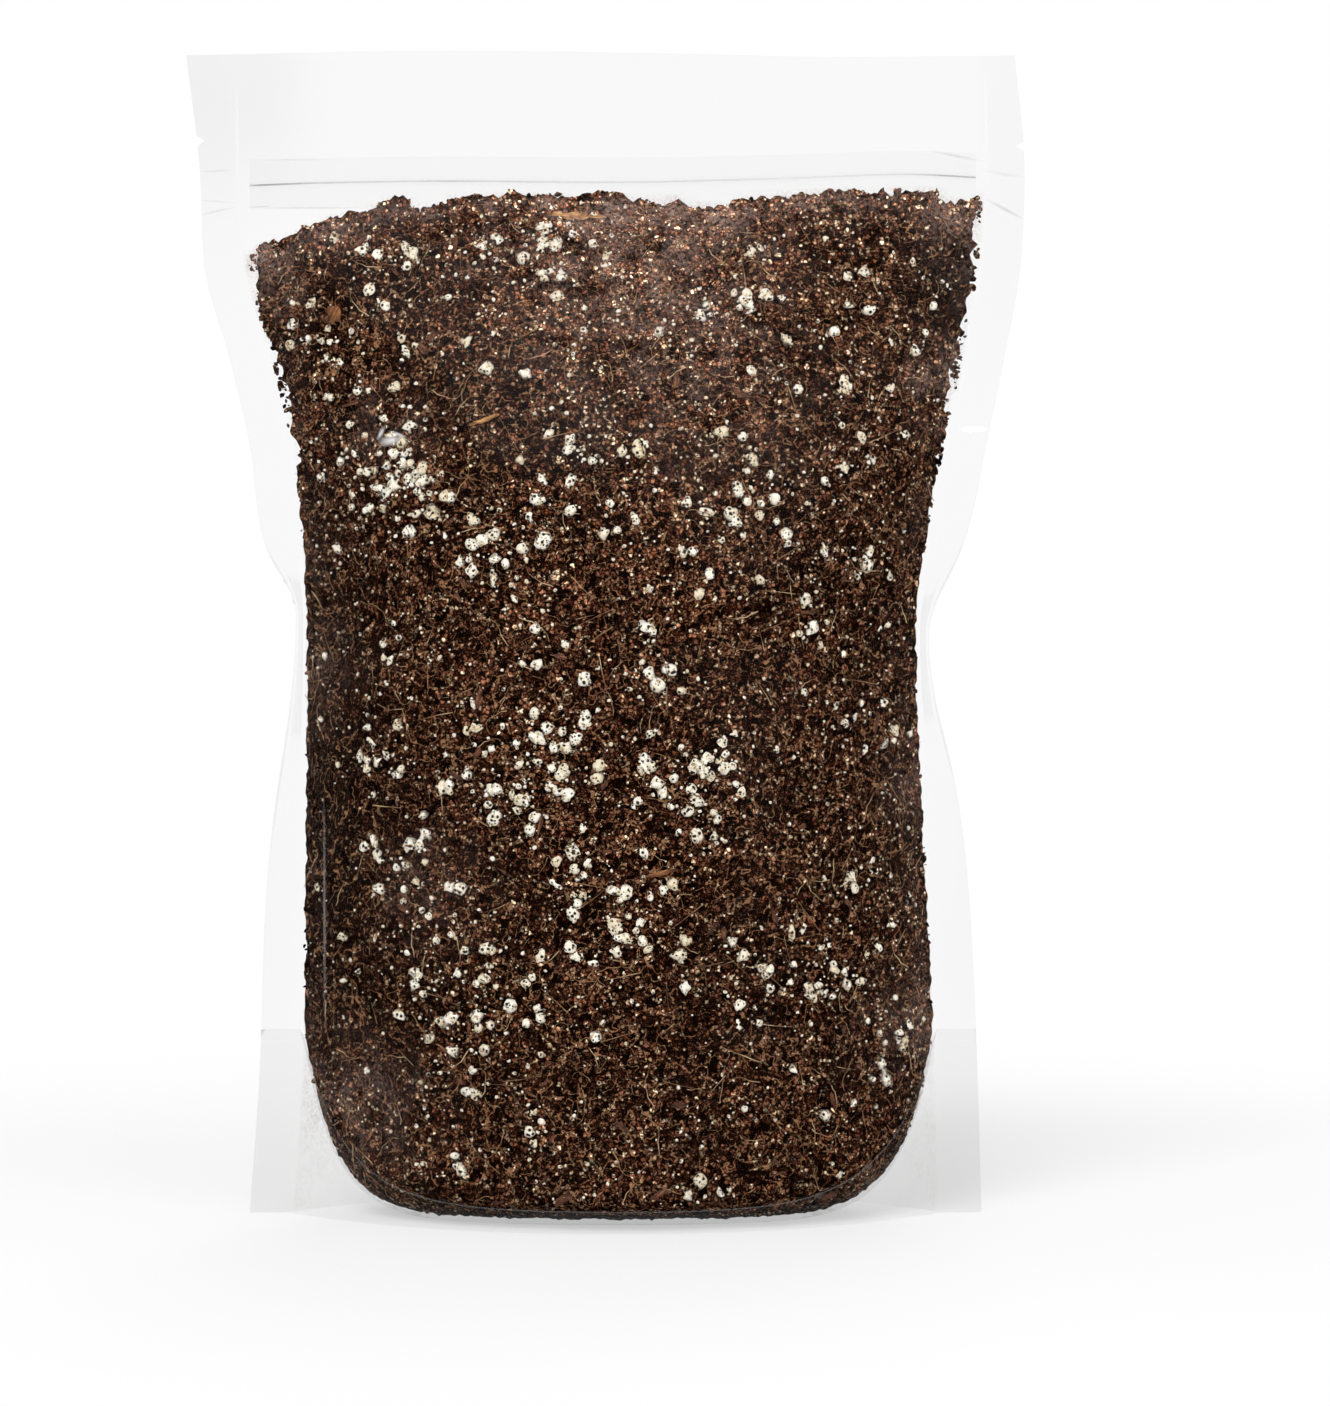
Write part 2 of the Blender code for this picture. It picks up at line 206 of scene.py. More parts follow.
def filmSurface(column, height, facing, inset=0.0):
    # Columns from -1 to 1 cross the panel, and those beyond lie in the side seals
    left, right = seamsAt(height)
    centre, halfWidth = (left + right) / 2, (right - left) / 2
    across = np.clip(column, -1.0, 1.0)
    side = np.where(column < 0.0, -1.0, 1.0)
    half = layerHalf(height)
    x, out, lean = arcSurface(across, halfWidth, smoothThrough(height, stationHeights, pouch["halfDepth"]))
    out = dented(out, across, height, facing)
    slot = slotDepth(height) * np.minimum(1.0, (halfWidth - np.abs(x)) / pouch["slotShoulder"])
    inSlot = slot > out
    normalX = np.where(inSlot, 0.0, np.sin(lean))
    normalY = np.where(inSlot, facing, facing * np.cos(lean))
    out = np.where(inSlot, slot, out)
    points = np.stack([centre + x - normalX * inset, facing * (half + out) - normalY * inset, height], -1)
    inSeal = np.abs(column) >= 1.0
    reach = (np.abs(column[inSeal]) - 1.0) * pouch["seal"]
    offset = half[inSeal] - inset
    points[inSeal] = sealSurface(side[inSeal], reach, height[inSeal], facing, offset)
    return points


# The hand-made look on top of the plain form: a pouch that has been filled, shut and stood up
handling = {
    "zipWave": ((-0.095, -0.0009), (-0.070, 0.0), (-0.040, 0.0004), (0.0, 0.0001), (0.046, 0.0011),
                (0.076, 0.0021), (0.098, 0.0011)),
    "zipWaveBelow": 0.030,
    "topWave": ((-0.107, -0.0004), (-0.040, 0.0009), (0.020, 0.0003), (0.060, -0.0006), (0.107, -0.0002)),
    "headerBow": 0.0022,
    "bowTurns": (21.0, 0.6),            # radians to the metre, and those at the middle
    "headerRipple": 0.0007,
    "rippleTurns": 67.0,
    "sealRipple": 0.0009,
    "sealRippleLength": 0.043,
    "sealRippleShift": 1.3,
    "sealRipplePower": 1.5,
}


def handled(points):
    # Moves film, zip and fill alike, so nothing that touches comes apart
    x, height = points[:, 0].copy(), points[:, 2].copy()
    zipHeight, top = pouch["zipHeight"], pouch["height"]
    waveX, waveZ = zip(*handling["zipWave"])
    topX, topZ = zip(*handling["topWave"])
    nearZip = blendBetween(height, zipHeight - handling["zipWaveBelow"], zipHeight)
    aboveZip = blendBetween(height, zipHeight, top)
    points[:, 2] += smoothThrough(x, waveX, waveZ) * nearZip * (1.0 - aboveZip)
    points[:, 2] += smoothThrough(x, topX, topZ) * aboveZip
    inHeader = blendBetween(height, zipHeight, top)
    turns, start = handling["bowTurns"]
    bow = handling["headerBow"] * np.sin(x * turns + start)
    bow += handling["headerRipple"] * np.sin(x * handling["rippleTurns"])
    points[:, 1] += bow * inHeader
    left, right = seamsAt(height)
    past = np.maximum(left - x, x - right) / pouch["seal"]
    shift = np.sign(x) * handling["sealRippleShift"]
    ripple = np.sin(height / handling["sealRippleLength"] * 2 * math.pi + shift)
    points[:, 1] += handling["sealRipple"] * ripple * np.clip(past, 0.0, 1.0) ** handling["sealRipplePower"]
    return points


def addNode(tree, kind, inputs=None, **settings):
    node = tree.nodes.new(kind)
    for name, value in settings.items():
        setattr(node, name, value)
    for socket, value in (inputs or {}).items():
        if isinstance(value, bpy.types.NodeSocket):
            tree.links.new(value, node.inputs[socket])
        else:
            node.inputs[socket].default_value = value
    return node


def fromHex(code, alpha=1.0):
    values = [int(code[i:i + 2], 16) / 255 for i in (1, 3, 5)]
    return (*[v / 12.92 if v <= 0.04045 else ((v + 0.055) / 1.055) ** 2.4 for v in values], alpha)


def newMaterial(name):
    material = bpy.data.materials.new(name)
    material.use_nodes = True
    material.node_tree.nodes.clear()
    return material, material.node_tree


def rampOf(tree, factor, stops, interpolation="LINEAR"):
    ramp = addNode(tree, "ShaderNodeValToRGB", {"Fac": factor})
    ramp.color_ramp.interpolation = interpolation
    elements = ramp.color_ramp.elements
    for i, (place, code) in enumerate(stops):
        element = elements[i] if i < 2 else elements.new(place)
        element.position = place
        element.color = fromHex(code)
    return ramp.outputs["Color"]


def mixColour(tree, factor, first, second, mode="MIX"):
    mix = addNode(tree, "ShaderNodeMix", {0: factor, 6: first, 7: second}, data_type="RGBA", blend_type=mode)
    return mix.outputs[2]


def mathNode(tree, operation, first, second=0.0, clamp=False):
    node = addNode(tree, "ShaderNodeMath", {0: first, 1: second}, operation=operation, use_clamp=clamp)
    return node.outputs[0]


def rangeOf(tree, value, fromMin, fromMax, toMin, toMax):
    node = addNode(tree, "ShaderNodeMapRange", {
        "Value": value, "From Min": fromMin, "From Max": fromMax, "To Min": toMin, "To Max": toMax})
    return node.outputs[0]


def multiply(tree, *factors):
    product = factors[0]
    for factor in factors[1:]:
        product = mathNode(tree, "MULTIPLY", product, factor)
    return product


def vectorNode(tree, operation, first, second):
    return addNode(tree, "ShaderNodeVectorMath", {0: first, 1: second}, operation=operation).outputs[0]


def scaled(tree, vector, share):
    return addNode(tree, "ShaderNodeVectorMath", {0: vector, "Scale": share}, operation="SCALE").outputs[0]


def placeOf(tree):
    return addNode(tree, "ShaderNodeTexCoord").outputs["Object"]


def attributeOf(tree, name, output="Fac"):
    return addNode(tree, "ShaderNodeAttribute", attribute_name=name).outputs[output]


def noiseOf(tree, place, size, detail, roughness=0.5, output="Fac"):
    # "size" is in millimetres
    return addNode(tree, "ShaderNodeTexNoise", {
        "Vector": place, "Scale": 1000 / size, "Detail": detail, "Roughness": roughness}).outputs[output]


def mattShader(tree, code):
    return addNode(tree, "ShaderNodeBsdfDiffuse", {"Color": fromHex(code)}).outputs[0]


def mixShaders(tree, share, first, second):
    return addNode(tree, "ShaderNodeMixShader", {0: share, 1: first, 2: second}).outputs[0]


def bumpOf(tree, relief, strength, depth):
    node = addNode(tree, "ShaderNodeBump", {"Height": relief, "Strength": strength, "Distance": depth})
    return node.outputs[0]


def plainWhen(tree, rays, full, plain):
    # Rays that only carry light get a plain shader, which saves most of the render's time
    path = addNode(tree, "ShaderNodeLightPath").outputs
    share = path[rays[0]]
    for ray in rays[1:]:
        share = mathNode(tree, "MAXIMUM", share, path[ray])
    return mixShaders(tree, share, full, plain)


def closeMaterial(material, surface):
    addNode(material.node_tree, "ShaderNodeOutputMaterial", {"Surface": surface})
    return material


# Clear packing film: a polyester and polyethylene laminate, cast smooth, so it is seen by its faint
# gloss, by a grey that deepens where layers lie together, by the fines that cling inside it, and by
# painted sheen, painted crease shade and painted glints
filmLook = {
    "clearest": 0.9906,     # light let through by one face of the film
    "smokiest": 0.9660,
    "smoke": 0.14,          # how far plain film is towards the smokiest
    "sealSmoke": 0.08,      # and what a seal adds
    "ior": 1.09,
    "glossShare": 0.6,
    "glossMost": 0.25,
    "roughness": 0.14,
    # Fines clinging inside the film, with painted sheen where the film stands away from the fill
    "dustAndSheenColour": "#AA9086",
    "dustAndSheenPatch": 8.0,       # millimetres between patches of clinging fines and of painted sheen
    "dustAndSheenGrain": 0.9,
    "dustAndSheenRange": (0.38, 0.62),
    "dustAndSheenMost": 0.55,
    "waviness": 7.0,        # millimetres between shallow waves left by the rollers
    "waveStrength": 0.25,
    "waveDepth": 0.0006,
    # Painted crease shade, painted glints and the painted shade line along the zip
    "creaseShadeColour": "#6E6E72",
    "glintColour": "#FAFAFA",
    "zipShadeColour": "#4A4546",
    "markGain": 1.4,
}
# Painted crease shade and painted glints in the front film: x, height, half length and half width in
# millimetres, slope in degrees, strength
edgeCreaseShades = (
    (-80.0, 268.8, 14.0, 0.35, 0, 0.10), (-99.0, 266.0, 5.0, 0.40, 2, 0.12),
    (-99.5, 258.3, 5.5, 0.35, -4, 0.10), (-99.0, 255.8, 5.5, 0.45, 13, 0.14),
    (88.5, 269.8, 8.0, 0.50, -11, 0.18), (101.0, 265.2, 6.0, 0.60, -9, 0.10),
    (101.5, 256.2, 6.2, 0.55, -28, 0.24), (-81.2, 157.2, 2.4, 0.40, -54, 0.35),
    (-83.0, 155.0, 1.6, 0.50, 30, 0.20),
)
# Painted glints: matt white where the film would catch a reflection
edgeGlints = (
    (-93.6, 276.0, 16.0, 0.45, 90, 0.10), (96.4, 276.0, 18.0, 0.45, 90, 0.08),
    (93.5, 200.5, 4.0, 0.90, 0, 0.60), (-83.2, 161.0, 1.6, 1.1, 20, 0.60),
)
faceCreaseShades = ((-73.5, 256.6, 14.5, 0.32, 0, 0.20), (-88.0, 256.9, 4.0, 0.25, 3, 0.20))
faceGlints = (
    (-71.7, 78.5, 33.0, 0.45, 90, 0.12), (-54.0, 197.8, 3.4, 1.5, 12, 0.45),
    (-56.5, 199.6, 2.2, 0.7, 62, 0.42), (-52.0, 199.3, 2.6, 0.6, -20, 0.35),
)


def markMask(tree, place, marks):
    # Each mark is a long soft ellipse in the plane of the pouch
    mask = 0.0
    for x, height, halfLength, halfWidth, slope, strength in marks:
        spot = addNode(tree, "ShaderNodeMapping", {
            "Vector": place, "Location": (x / 1000, 0.0, height / 1000),
            "Rotation": (0.0, -math.radians(slope), 0.0),
            "Scale": (halfLength / 1000, 1.0, halfWidth / 1000)}, vector_type="TEXTURE")
        soft = addNode(tree, "ShaderNodeTexGradient", {"Vector": spot.outputs[0]}, gradient_type="SPHERICAL")
        own = multiply(tree, soft.outputs["Fac"], strength * filmLook["markGain"])
        mask = mathNode(tree, "MAXIMUM", own, mask)
    return mask


def clearShader(tree):
    passes = rangeOf(tree, attributeOf(tree, "smoke"), 0.0, 1.0, filmLook["clearest"], filmLook["smokiest"])
    tint = addNode(tree, "ShaderNodeCombineColor", {0: passes, 1: passes, 2: passes})
    return addNode(tree, "ShaderNodeBsdfTransparent", {"Color": tint.outputs[0]}).outputs[0]


def makeFilmMaterial(name, withDustAndSheen=False, shades=(), paintedGlints=(), paintedZipShade=False):
    look = filmLook
    material, tree = newMaterial(name)
    place = placeOf(tree)
    waves = bumpOf(tree, noiseOf(tree, place, look["waviness"], 1.0), look["waveStrength"], look["waveDepth"])
    gloss = addNode(tree, "ShaderNodeBsdfAnisotropic", {"Roughness": look["roughness"], "Normal": waves})
    mirrored = addNode(tree, "ShaderNodeFresnel", {"IOR": look["ior"]}).outputs[0]
    shine = mathNode(tree, "MINIMUM", multiply(tree, mirrored, look["glossShare"]), look["glossMost"])
    clear = clearShader(tree)
    film = mixShaders(tree, shine, clear, gloss.outputs[0])
    # Clinging fines and painted sheen, mixed in as a matt colour in patches
    if withDustAndSheen:
        patches = noiseOf(tree, place, look["dustAndSheenPatch"], 3.0, 0.65)
        patches = rangeOf(tree, patches, *look["dustAndSheenRange"], 0.1, 1.0)
        fines = rangeOf(tree, noiseOf(tree, place, look["dustAndSheenGrain"], 2.0), *look["dustAndSheenRange"], 0.15, 1.0)
        amount = multiply(tree, patches, fines, attributeOf(tree, "dustAndSheen"), look["dustAndSheenMost"])
        film = mixShaders(tree, amount, film, mattShader(tree, look["dustAndSheenColour"]))
    # Painted crease shade in grey and painted glints in white
    for marks, colour in ((shades, look["creaseShadeColour"]), (paintedGlints, look["glintColour"])):
        if marks:
            film = mixShaders(tree, markMask(tree, place, marks), film, mattShader(tree, colour))
    # Painted shade along the zip's pressed line
    if paintedZipShade:
        film = mixShaders(tree, attributeOf(tree, "line"), film, mattShader(tree, look["zipShadeColour"]))
    return closeMaterial(material, plainWhen(tree, ("Is Shadow Ray", "Is Diffuse Ray"), film, clear))


def makeInnerMaterial(name):
    # The inner faces only dim what is behind them: the gloss is on the outer ones
    material, tree = newMaterial(name)
    return closeMaterial(material, clearShader(tree))


# Moist peat compost, screened to a few millimetres: matt crumbs from near black through red-brown to a
# few tan ones, with painted black shade in the hollows between them, which gives the eye its grainy
# salt-and-pepper brown
compostLook = {
    "tones": ((0.0, "#1C0A04"), (0.12, "#36190D"), (0.34, "#543120"), (0.56, "#6B4431"), (0.72, "#80523A"),
              (0.83, "#8F6B50"), (0.93, "#AC8A69"), (0.985, "#DCC8A8")),
    "clod": 2.6,            # millimetres across
    "crumb": 1.15,
    "grain": 0.55,
    "patch": 14.0,
    "hollow": 1.9,
    # Painted shade in the hollows and along the borders between crumbs
    "gap": "#080302",
    "average": "#4A3022",
    "bend": 10 / 9,         # millimetres between bends in the crumbs' outlines
    "warp": 0.0012,
    "strand": 3.4,          # millimetres between curling strands
    "strandShow": 0.75,
    "strandColour": "#9A7252",
    "strandWidth": (0.006, 0.016),
    "strandChance": 0.45,
    "toneShares": (0.62, 0.38),         # of a crumb's own tone and of its grains'
    "toneRange": (0.18, 0.86),
    "clodLevels": (0.60, 1.40),
    "patchRange": (0.32, 0.66),
    "patchLevels": (0.60, 1.35),
    "grainLevels": (0.50, 1.70),
    "pieceLevels": (0.35, 1.65),
    "hollowRange": (0.41, 0.49),
    "crumbBorder": (0.04, 0.22),
    "clodBorder": (0.01, 0.12),
    "level": 1.13,
    "paintedTopLight": 1.1,          # how much painted light pales the crumbs along the top
    "paintedTopDepth": 0.0055,
    "paintedRimLight": 1.6,
    "darkest": 0.15,
}


def cellsOf(tree, place, size, bordered=True):
    inputs = {"Vector": place, "Scale": 1000 / size}
    cells = addNode(tree, "ShaderNodeTexVoronoi", inputs)
    tones = addNode(tree, "ShaderNodeSeparateColor", {0: cells.outputs["Color"]}).outputs
    border = addNode(tree, "ShaderNodeTexVoronoi", inputs, feature="DISTANCE_TO_EDGE") if bordered else None
    return tones, border and border.outputs["Distance"]


def makeCompostMaterial(name, byPiece):
    look = compostLook
    material, tree = newMaterial(name)
    place = placeOf(tree)
    bend = noiseOf(tree, place, look["bend"], 3.0, 0.7, "Color")
    bend = scaled(tree, vectorNode(tree, "SUBTRACT", bend, (0.5, 0.5, 0.5)), look["warp"])
    warped = vectorNode(tree, "ADD", place, bend)
    clodTone, clodEdge = cellsOf(tree, warped, look["clod"])
    crumbTone, crumbEdge = cellsOf(tree, warped, look["crumb"])
    grainTone, _ = cellsOf(tree, warped, look["grain"], False)
    ownShare, grainShare = look["toneShares"]
    ownTone = multiply(tree, crumbTone[0], ownShare)
    pick = mathNode(tree, "ADD", ownTone, multiply(tree, grainTone[0], grainShare))
    colour = rampOf(tree, rangeOf(tree, pick, *look["toneRange"], 0.0, 1.0), look["tones"])
    patch = noiseOf(tree, place, look["patch"], 3.0, 0.6)
    # The shade attribute brings in painted light and shade
    level = multiply(
        tree,
        rangeOf(tree, clodTone[1], 0.0, 1.0, *look["clodLevels"]),
        rangeOf(tree, patch, *look["patchRange"], *look["patchLevels"]),
        rangeOf(tree, grainTone[1], 0.0, 1.0, *look["grainLevels"]),
        attributeOf(tree, "shade"))
    if byPiece:
        own = rangeOf(tree, attributeOf(tree, "tone"), 0.0, 1.0, *look["pieceLevels"])
        level = multiply(tree, level, own)
    colour = scaled(tree, colour, level)
    # Painted shade: the hollows and the borders of crumbs and clods take the near-black gap colour
    solid = multiply(
        tree,
        rangeOf(tree, noiseOf(tree, warped, look["hollow"], 2.0, 0.6), *look["hollowRange"], 0.0, 1.0),
        rangeOf(tree, crumbEdge, *look["crumbBorder"], 0.0, 1.0),
        rangeOf(tree, clodEdge, *look["clodBorder"], 0.1, 1.0))
    colour = mixColour(tree, solid, fromHex(look["gap"]), colour)
    # Contour lines of a smooth noise curl like fine roots
    contours = noiseOf(tree, warped, look["strand"], 1.0)
    aside = mathNode(tree, "ABSOLUTE", mathNode(tree, "SUBTRACT", contours, 0.5))
    strand = rangeOf(tree, aside, *look["strandWidth"], look["strandShow"], 0.0)
    strand = multiply(tree, strand, mathNode(tree, "GREATER_THAN", clodTone[2], look["strandChance"]))
    colour = mixColour(tree, strand, colour, fromHex(look["strandColour"]))
    shader = addNode(tree, "ShaderNodeBsdfPrincipled", {
        "Base Color": colour, "Roughness": 0.9, "Specular IOR Level": 0.0})
    plain = mattShader(tree, look["average"])
    return closeMaterial(material, plainWhen(tree, ("Is Diffuse Ray",), shader.outputs[0], plain))


# Expanded perlite: volcanic glass popped like corn, chalk white, pitted with burst bubbles that are coloured
# dark
perliteLook = {
    "white": "#F4EFE3",
    "cream": "#E2D6BC",
    "dirt": "#8A6C4A",
    "pit": "#23160D",
    "holes": ((1.25, 0.35), (0.72, 0.50)),      # millimetres between pits, and the share left out
    "holeEdge": (0.28, 0.38),
    "pore": 0.20,
    "poreRelief": 0.3,
    "relief": (0.8, 0.0004),
    "stain": 1.25,
    "stainStops": (0.36, 0.44, 0.54),
    "dullRange": (0.55, 1.0),
    "dullMost": 0.75,
    "rimShade": (0.0009, 0.0018),     # metres behind the film over which a grain's flanks take painted contact shade
    "rimShadeMost": 0.9,
}


def makePerliteMaterial(name):
    look = perliteLook
    material, tree = newMaterial(name)
    place = placeOf(tree)
    stain = noiseOf(tree, place, look["stain"], 4.0, 0.75)
    skin = rampOf(tree, stain, zip(look["stainStops"], (look["dirt"], look["cream"], look["white"])))
    dull = rangeOf(tree, attributeOf(tree, "tone"), *look["dullRange"], 0.0, look["dullMost"])
    body = mixColour(tree, dull, skin, fromHex(look["cream"]), "MULTIPLY")
    inPit = 0.0
    for size, chance in look["holes"]:
        holes = addNode(tree, "ShaderNodeTexVoronoi", {"Vector": place, "Scale": 1000 / size})
        pick = addNode(tree, "ShaderNodeSeparateColor", {0: holes.outputs["Color"]}).outputs[0]
        hole = rangeOf(tree, holes.outputs["Distance"], *look["holeEdge"], 1.0, 0.0)
        hole = multiply(tree, hole, mathNode(tree, "GREATER_THAN", pick, chance))
        inPit = mathNode(tree, "MAXIMUM", hole, inPit)
    # Painted contact shade on the flanks that lie back from the film
    rimShade = rangeOf(tree, attributeOf(tree, "sunk"), *look["rimShade"], 0.0, look["rimShadeMost"])
    body = mixColour(tree, rimShade, body, fromHex(look["pit"]))
    colour = mixColour(tree, inPit, body, fromHex(look["pit"]))
    pores = noiseOf(tree, place, look["pore"], 2.0)
    relief = mathNode(tree, "SUBTRACT", multiply(tree, pores, look["poreRelief"]), inPit)
    shader = addNode(tree, "ShaderNodeBsdfPrincipled", {
        "Base Color": colour, "Roughness": 0.85, "Specular IOR Level": 0.3,
        "Normal": bumpOf(tree, relief, *look["relief"])})
    return closeMaterial(material, shader.outputs[0])


# Shredded bark and root: fibrous, matt, from rust brown to straw
woodLook = {
    "bark": ("#1C0D07", "#482717", "#8A5A3A"),
    "wood": ("#2A1509", "#7E4E2A", "#D0A064"),
    "root": ("#5A3E28", "#9A7650", "#DAC298"),
    "fibres": (1.6, 7.0, 7.0),          # noise lengths along, across and through one chip
    "flakeFibres": (240.0, 1000.0, 1000.0),     # the same to the metre of a flake
    "streakRange": (0.36, 0.64),
    "toneShares": (0.35, 0.65),         # of a chip's own tone and of its streaks
    "stops": (0.10, 0.50, 0.95),
    "relief": (0.6, 0.0002),
}


def makeWoodMaterial(name, colours):
    look = woodLook
    material, tree = newMaterial(name)
    tone = attributeOf(tree, "tone")
    along = vectorNode(tree, "ADD", attributeOf(tree, "fibres", "Vector"), tone)
    # The attribute is stretched already, so the noise itself has a scale of one
    grain = noiseOf(tree, along, 1000.0, 4.0, 0.7)
    streak = rangeOf(tree, grain, *look["streakRange"], 0.0, 1.0)
    ownShare, streakShare = look["toneShares"]
    mixed = mathNode(tree, "ADD", multiply(tree, tone, ownShare), multiply(tree, streak, streakShare))
    colour = rampOf(tree, mixed, zip(look["stops"], colours))
    shader = addNode(tree, "ShaderNodeBsdfPrincipled", {
        "Base Color": colour, "Roughness": 0.8, "Specular IOR Level": 0.3,
        "Normal": bumpOf(tree, grain, *look["relief"])})
    return closeMaterial(material, shader.outputs[0])


def meshFrom(name, points, faces):
    mesh = bpy.data.meshes.new(name)
    mesh.from_pydata([tuple(p) for p in points], [], faces)
    mesh.validate()
    mesh.update()
    return mesh


def meshOf(built, name):
    mesh = bpy.data.meshes.new(name)
    built.to_mesh(mesh)
    built.free()
    return mesh


def placesOf(mesh):
    places = np.empty(len(mesh.vertices) * 3)
    mesh.vertices.foreach_get("co", places)
    return places.reshape(-1, 3)


def closeTube(built, rings):
    # Joins rings of vertices into one closed tube
    count = len(rings[0])
    for near, far in zip(rings, rings[1:]):
        for k in range(count):
            built.faces.new((near[k], near[(k + 1) % count], far[(k + 1) % count], far[k]))
    built.faces.new(rings[0][::-1])
    built.faces.new(rings[-1])
    bmesh.ops.recalc_face_normals(built, faces=built.faces)


def addPiece(name, mesh, material):
    piece = bpy.data.objects.new(name, mesh)
    bpy.context.scene.collection.objects.link(piece)
    mesh.materials.append(material)
    mesh.shade_smooth()
    return piece


def gridFaces(rows, columns, flip, start=0):
    i, j = np.meshgrid(np.arange(rows - 1), np.arange(columns - 1), indexing="ij")
    low = (start + i * columns + j).ravel()
    faces = np.stack([low, low + 1, low + columns + 1, low + columns], -1)
    return faces[:, ::-1].tolist() if flip else faces.tolist()


def setAttribute(mesh, name, values, kind="FLOAT", field="value"):
    layer = mesh.attributes.new(name, kind, "POINT")
    layer.data.foreach_set(field, np.asarray(values, np.float32).ravel())


def setFibres(mesh):
    # Lengths along a chip or rootlet, stretched so that noise runs with its fibres
    setAttribute(mesh, "fibres", placesOf(mesh) * np.array(woodLook["fibres"]), "FLOAT_VECTOR", "vector")


def settle(piece):
    # Turns a piece with live modifiers into a plain mesh
    graph = bpy.context.evaluated_depsgraph_get()
    mesh = bpy.data.meshes.new_from_object(piece.evaluated_get(graph))
    piece.modifiers.clear()
    piece.data = mesh
    return piece


def finishPiece(piece, slot, *nodes):
    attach(piece, "root")
    if nodes:
        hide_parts(*nodes)
    print(piece.name, len(piece.data.polygons), "faces")
    return piece


# Film panels
filmGrid = {
    "arcColumns": 76,
    "sealColumns": 5,
    "rows": 128,
    "edgeCrowding": 0.5,    # how far the columns crowd towards the seams
    "rowClearance": 0.35,   # least share of a row between a row and a mark
    "headerBelowZip": 0.001,
    "notchColumn": 1.75,    # from here out the notch opens
    "notchDepth": 0.0020,
    "notchHeight": 0.0026,
    "leftNotchBelowTop": 0.0209,
    "rightNotchBelowTop": 0.0240,
}
# Where fines cling inside the film and painted sheen lies on it: x, height, spread, strength
dustAndSheenPlaces = (
    (-0.062, 0.030, 0.014, 0.5), (0.084, 0.213, 0.010, 0.45), (0.088, 0.250, 0.010, 0.3),
    (-0.076, 0.140, 0.010, 0.3), (-0.045, 0.086, 0.014, 0.2), (0.080, 0.112, 0.009, 0.3),
    (-0.054, 0.200, 0.010, 0.3), (0.030, 0.206, 0.022, 0.2), (-0.086, 0.238, 0.010, 0.4),
    (0.080, 0.050, 0.012, 0.4), (0.010, 0.254, 0.034, 0.5), (0.0, 0.236, 0.028, 0.25),
)
# Where the film is greyer, by thickness or by layers pressed together: x, height, width, tallness, strength
smokePlaces = (
    (-0.104, 0.285, 0.020, 0.026, 0.75), (-0.085, 0.286, 0.010, 0.020, 0.35),
    (0.104, 0.275, 0.010, 0.040, 0.25), (-0.098, 0.075, 0.016, 0.040, 0.30),
    (0.098, 0.075, 0.016, 0.040, 0.30), (0.0, 0.300, 0.060, 0.010, 0.12),
)
# Fines and painted sheen along the sides and the top of the fill, where the film stands away from it
dustAndSheenSpread = {
    "atSides": 0.14,
    "sideReach": 0.008,
    "seamClear": 0.001,
    "atTop": 0.65,
    "topReach": 0.006,
    "topFade": 0.001,
}


def dustOver(points):
    inside = np.maximum(insideSeams(points), 0.0)
    above = points[:, 2] - topOfFill(points[:, 0])
    total = softSpots(points, dustAndSheenPlaces)
    total += dustAndSheenSpread["atSides"] * np.exp(-(inside / dustAndSheenSpread["sideReach"]) ** 2)
    total += dustAndSheenSpread["atTop"] * np.exp(-(above / dustAndSheenSpread["topReach"]) ** 2)
    fade = dustAndSheenSpread["topFade"]
    return np.clip(total, 0.0, 1.0) * (inside > dustAndSheenSpread["seamClear"]) * blendBetween(above, fade, -fade)


def smokeOver(points):
    total = np.full(len(points), filmLook["smoke"])
    for x, height, width, tall, strength in smokePlaces:
        away = ((points[:, 0] - x) / width) ** 2 + ((points[:, 2] - height) / tall) ** 2
        total += strength * np.exp(-away)
    return np.clip(total + filmLook["sealSmoke"] * (insideSeams(points) < 0.0), 0.0, 1.0)


def filmColumns():
    t = np.linspace(-1.0, 1.0, filmGrid["arcColumns"] + 1)
    crowding = filmGrid["edgeCrowding"]
    across = crowding * np.sin(math.pi / 2 * t) + (1.0 - crowding) * t
    seal = np.linspace(1.0, 2.0, filmGrid["sealColumns"] + 1)[1:]
    return np.concatenate([-seal[::-1], across, seal])


def filmHeights():
    rows = np.linspace(0.0, pouch["height"], filmGrid["rows"])
    marks = [pouch["gussetRise"], pouch["gussetRise"] + pouch["film"] + pouch["gap"]]
    for below in (filmGrid["leftNotchBelowTop"], filmGrid["rightNotchBelowTop"]):
        middle = pouch["height"] - below
        marks += [middle - filmGrid["notchHeight"] / 2, middle, middle + filmGrid["notchHeight"] / 2]
    spacing = pouch["height"] / filmGrid["rows"]
    away = np.min(np.abs(rows[:, None] - np.array(marks)[None, :]), axis=1)
    clear = rows[away > spacing * filmGrid["rowClearance"]]
    return np.sort(np.concatenate([clear, marks]))


def cutNotches(points, column, height):
    start = filmGrid["notchColumn"]
    for side, below in ((-1, filmGrid["leftNotchBelowTop"]), (1, filmGrid["rightNotchBelowTop"])):
        away = np.abs(height - (pouch["height"] - below)) / (filmGrid["notchHeight"] / 2)
        edge = np.clip((side * column - start) / (2.0 - start), 0.0, 1.0)
        points[:, 0] -= side * edge * filmGrid["notchDepth"] * np.maximum(0.0, 1.0 - away)
    return points


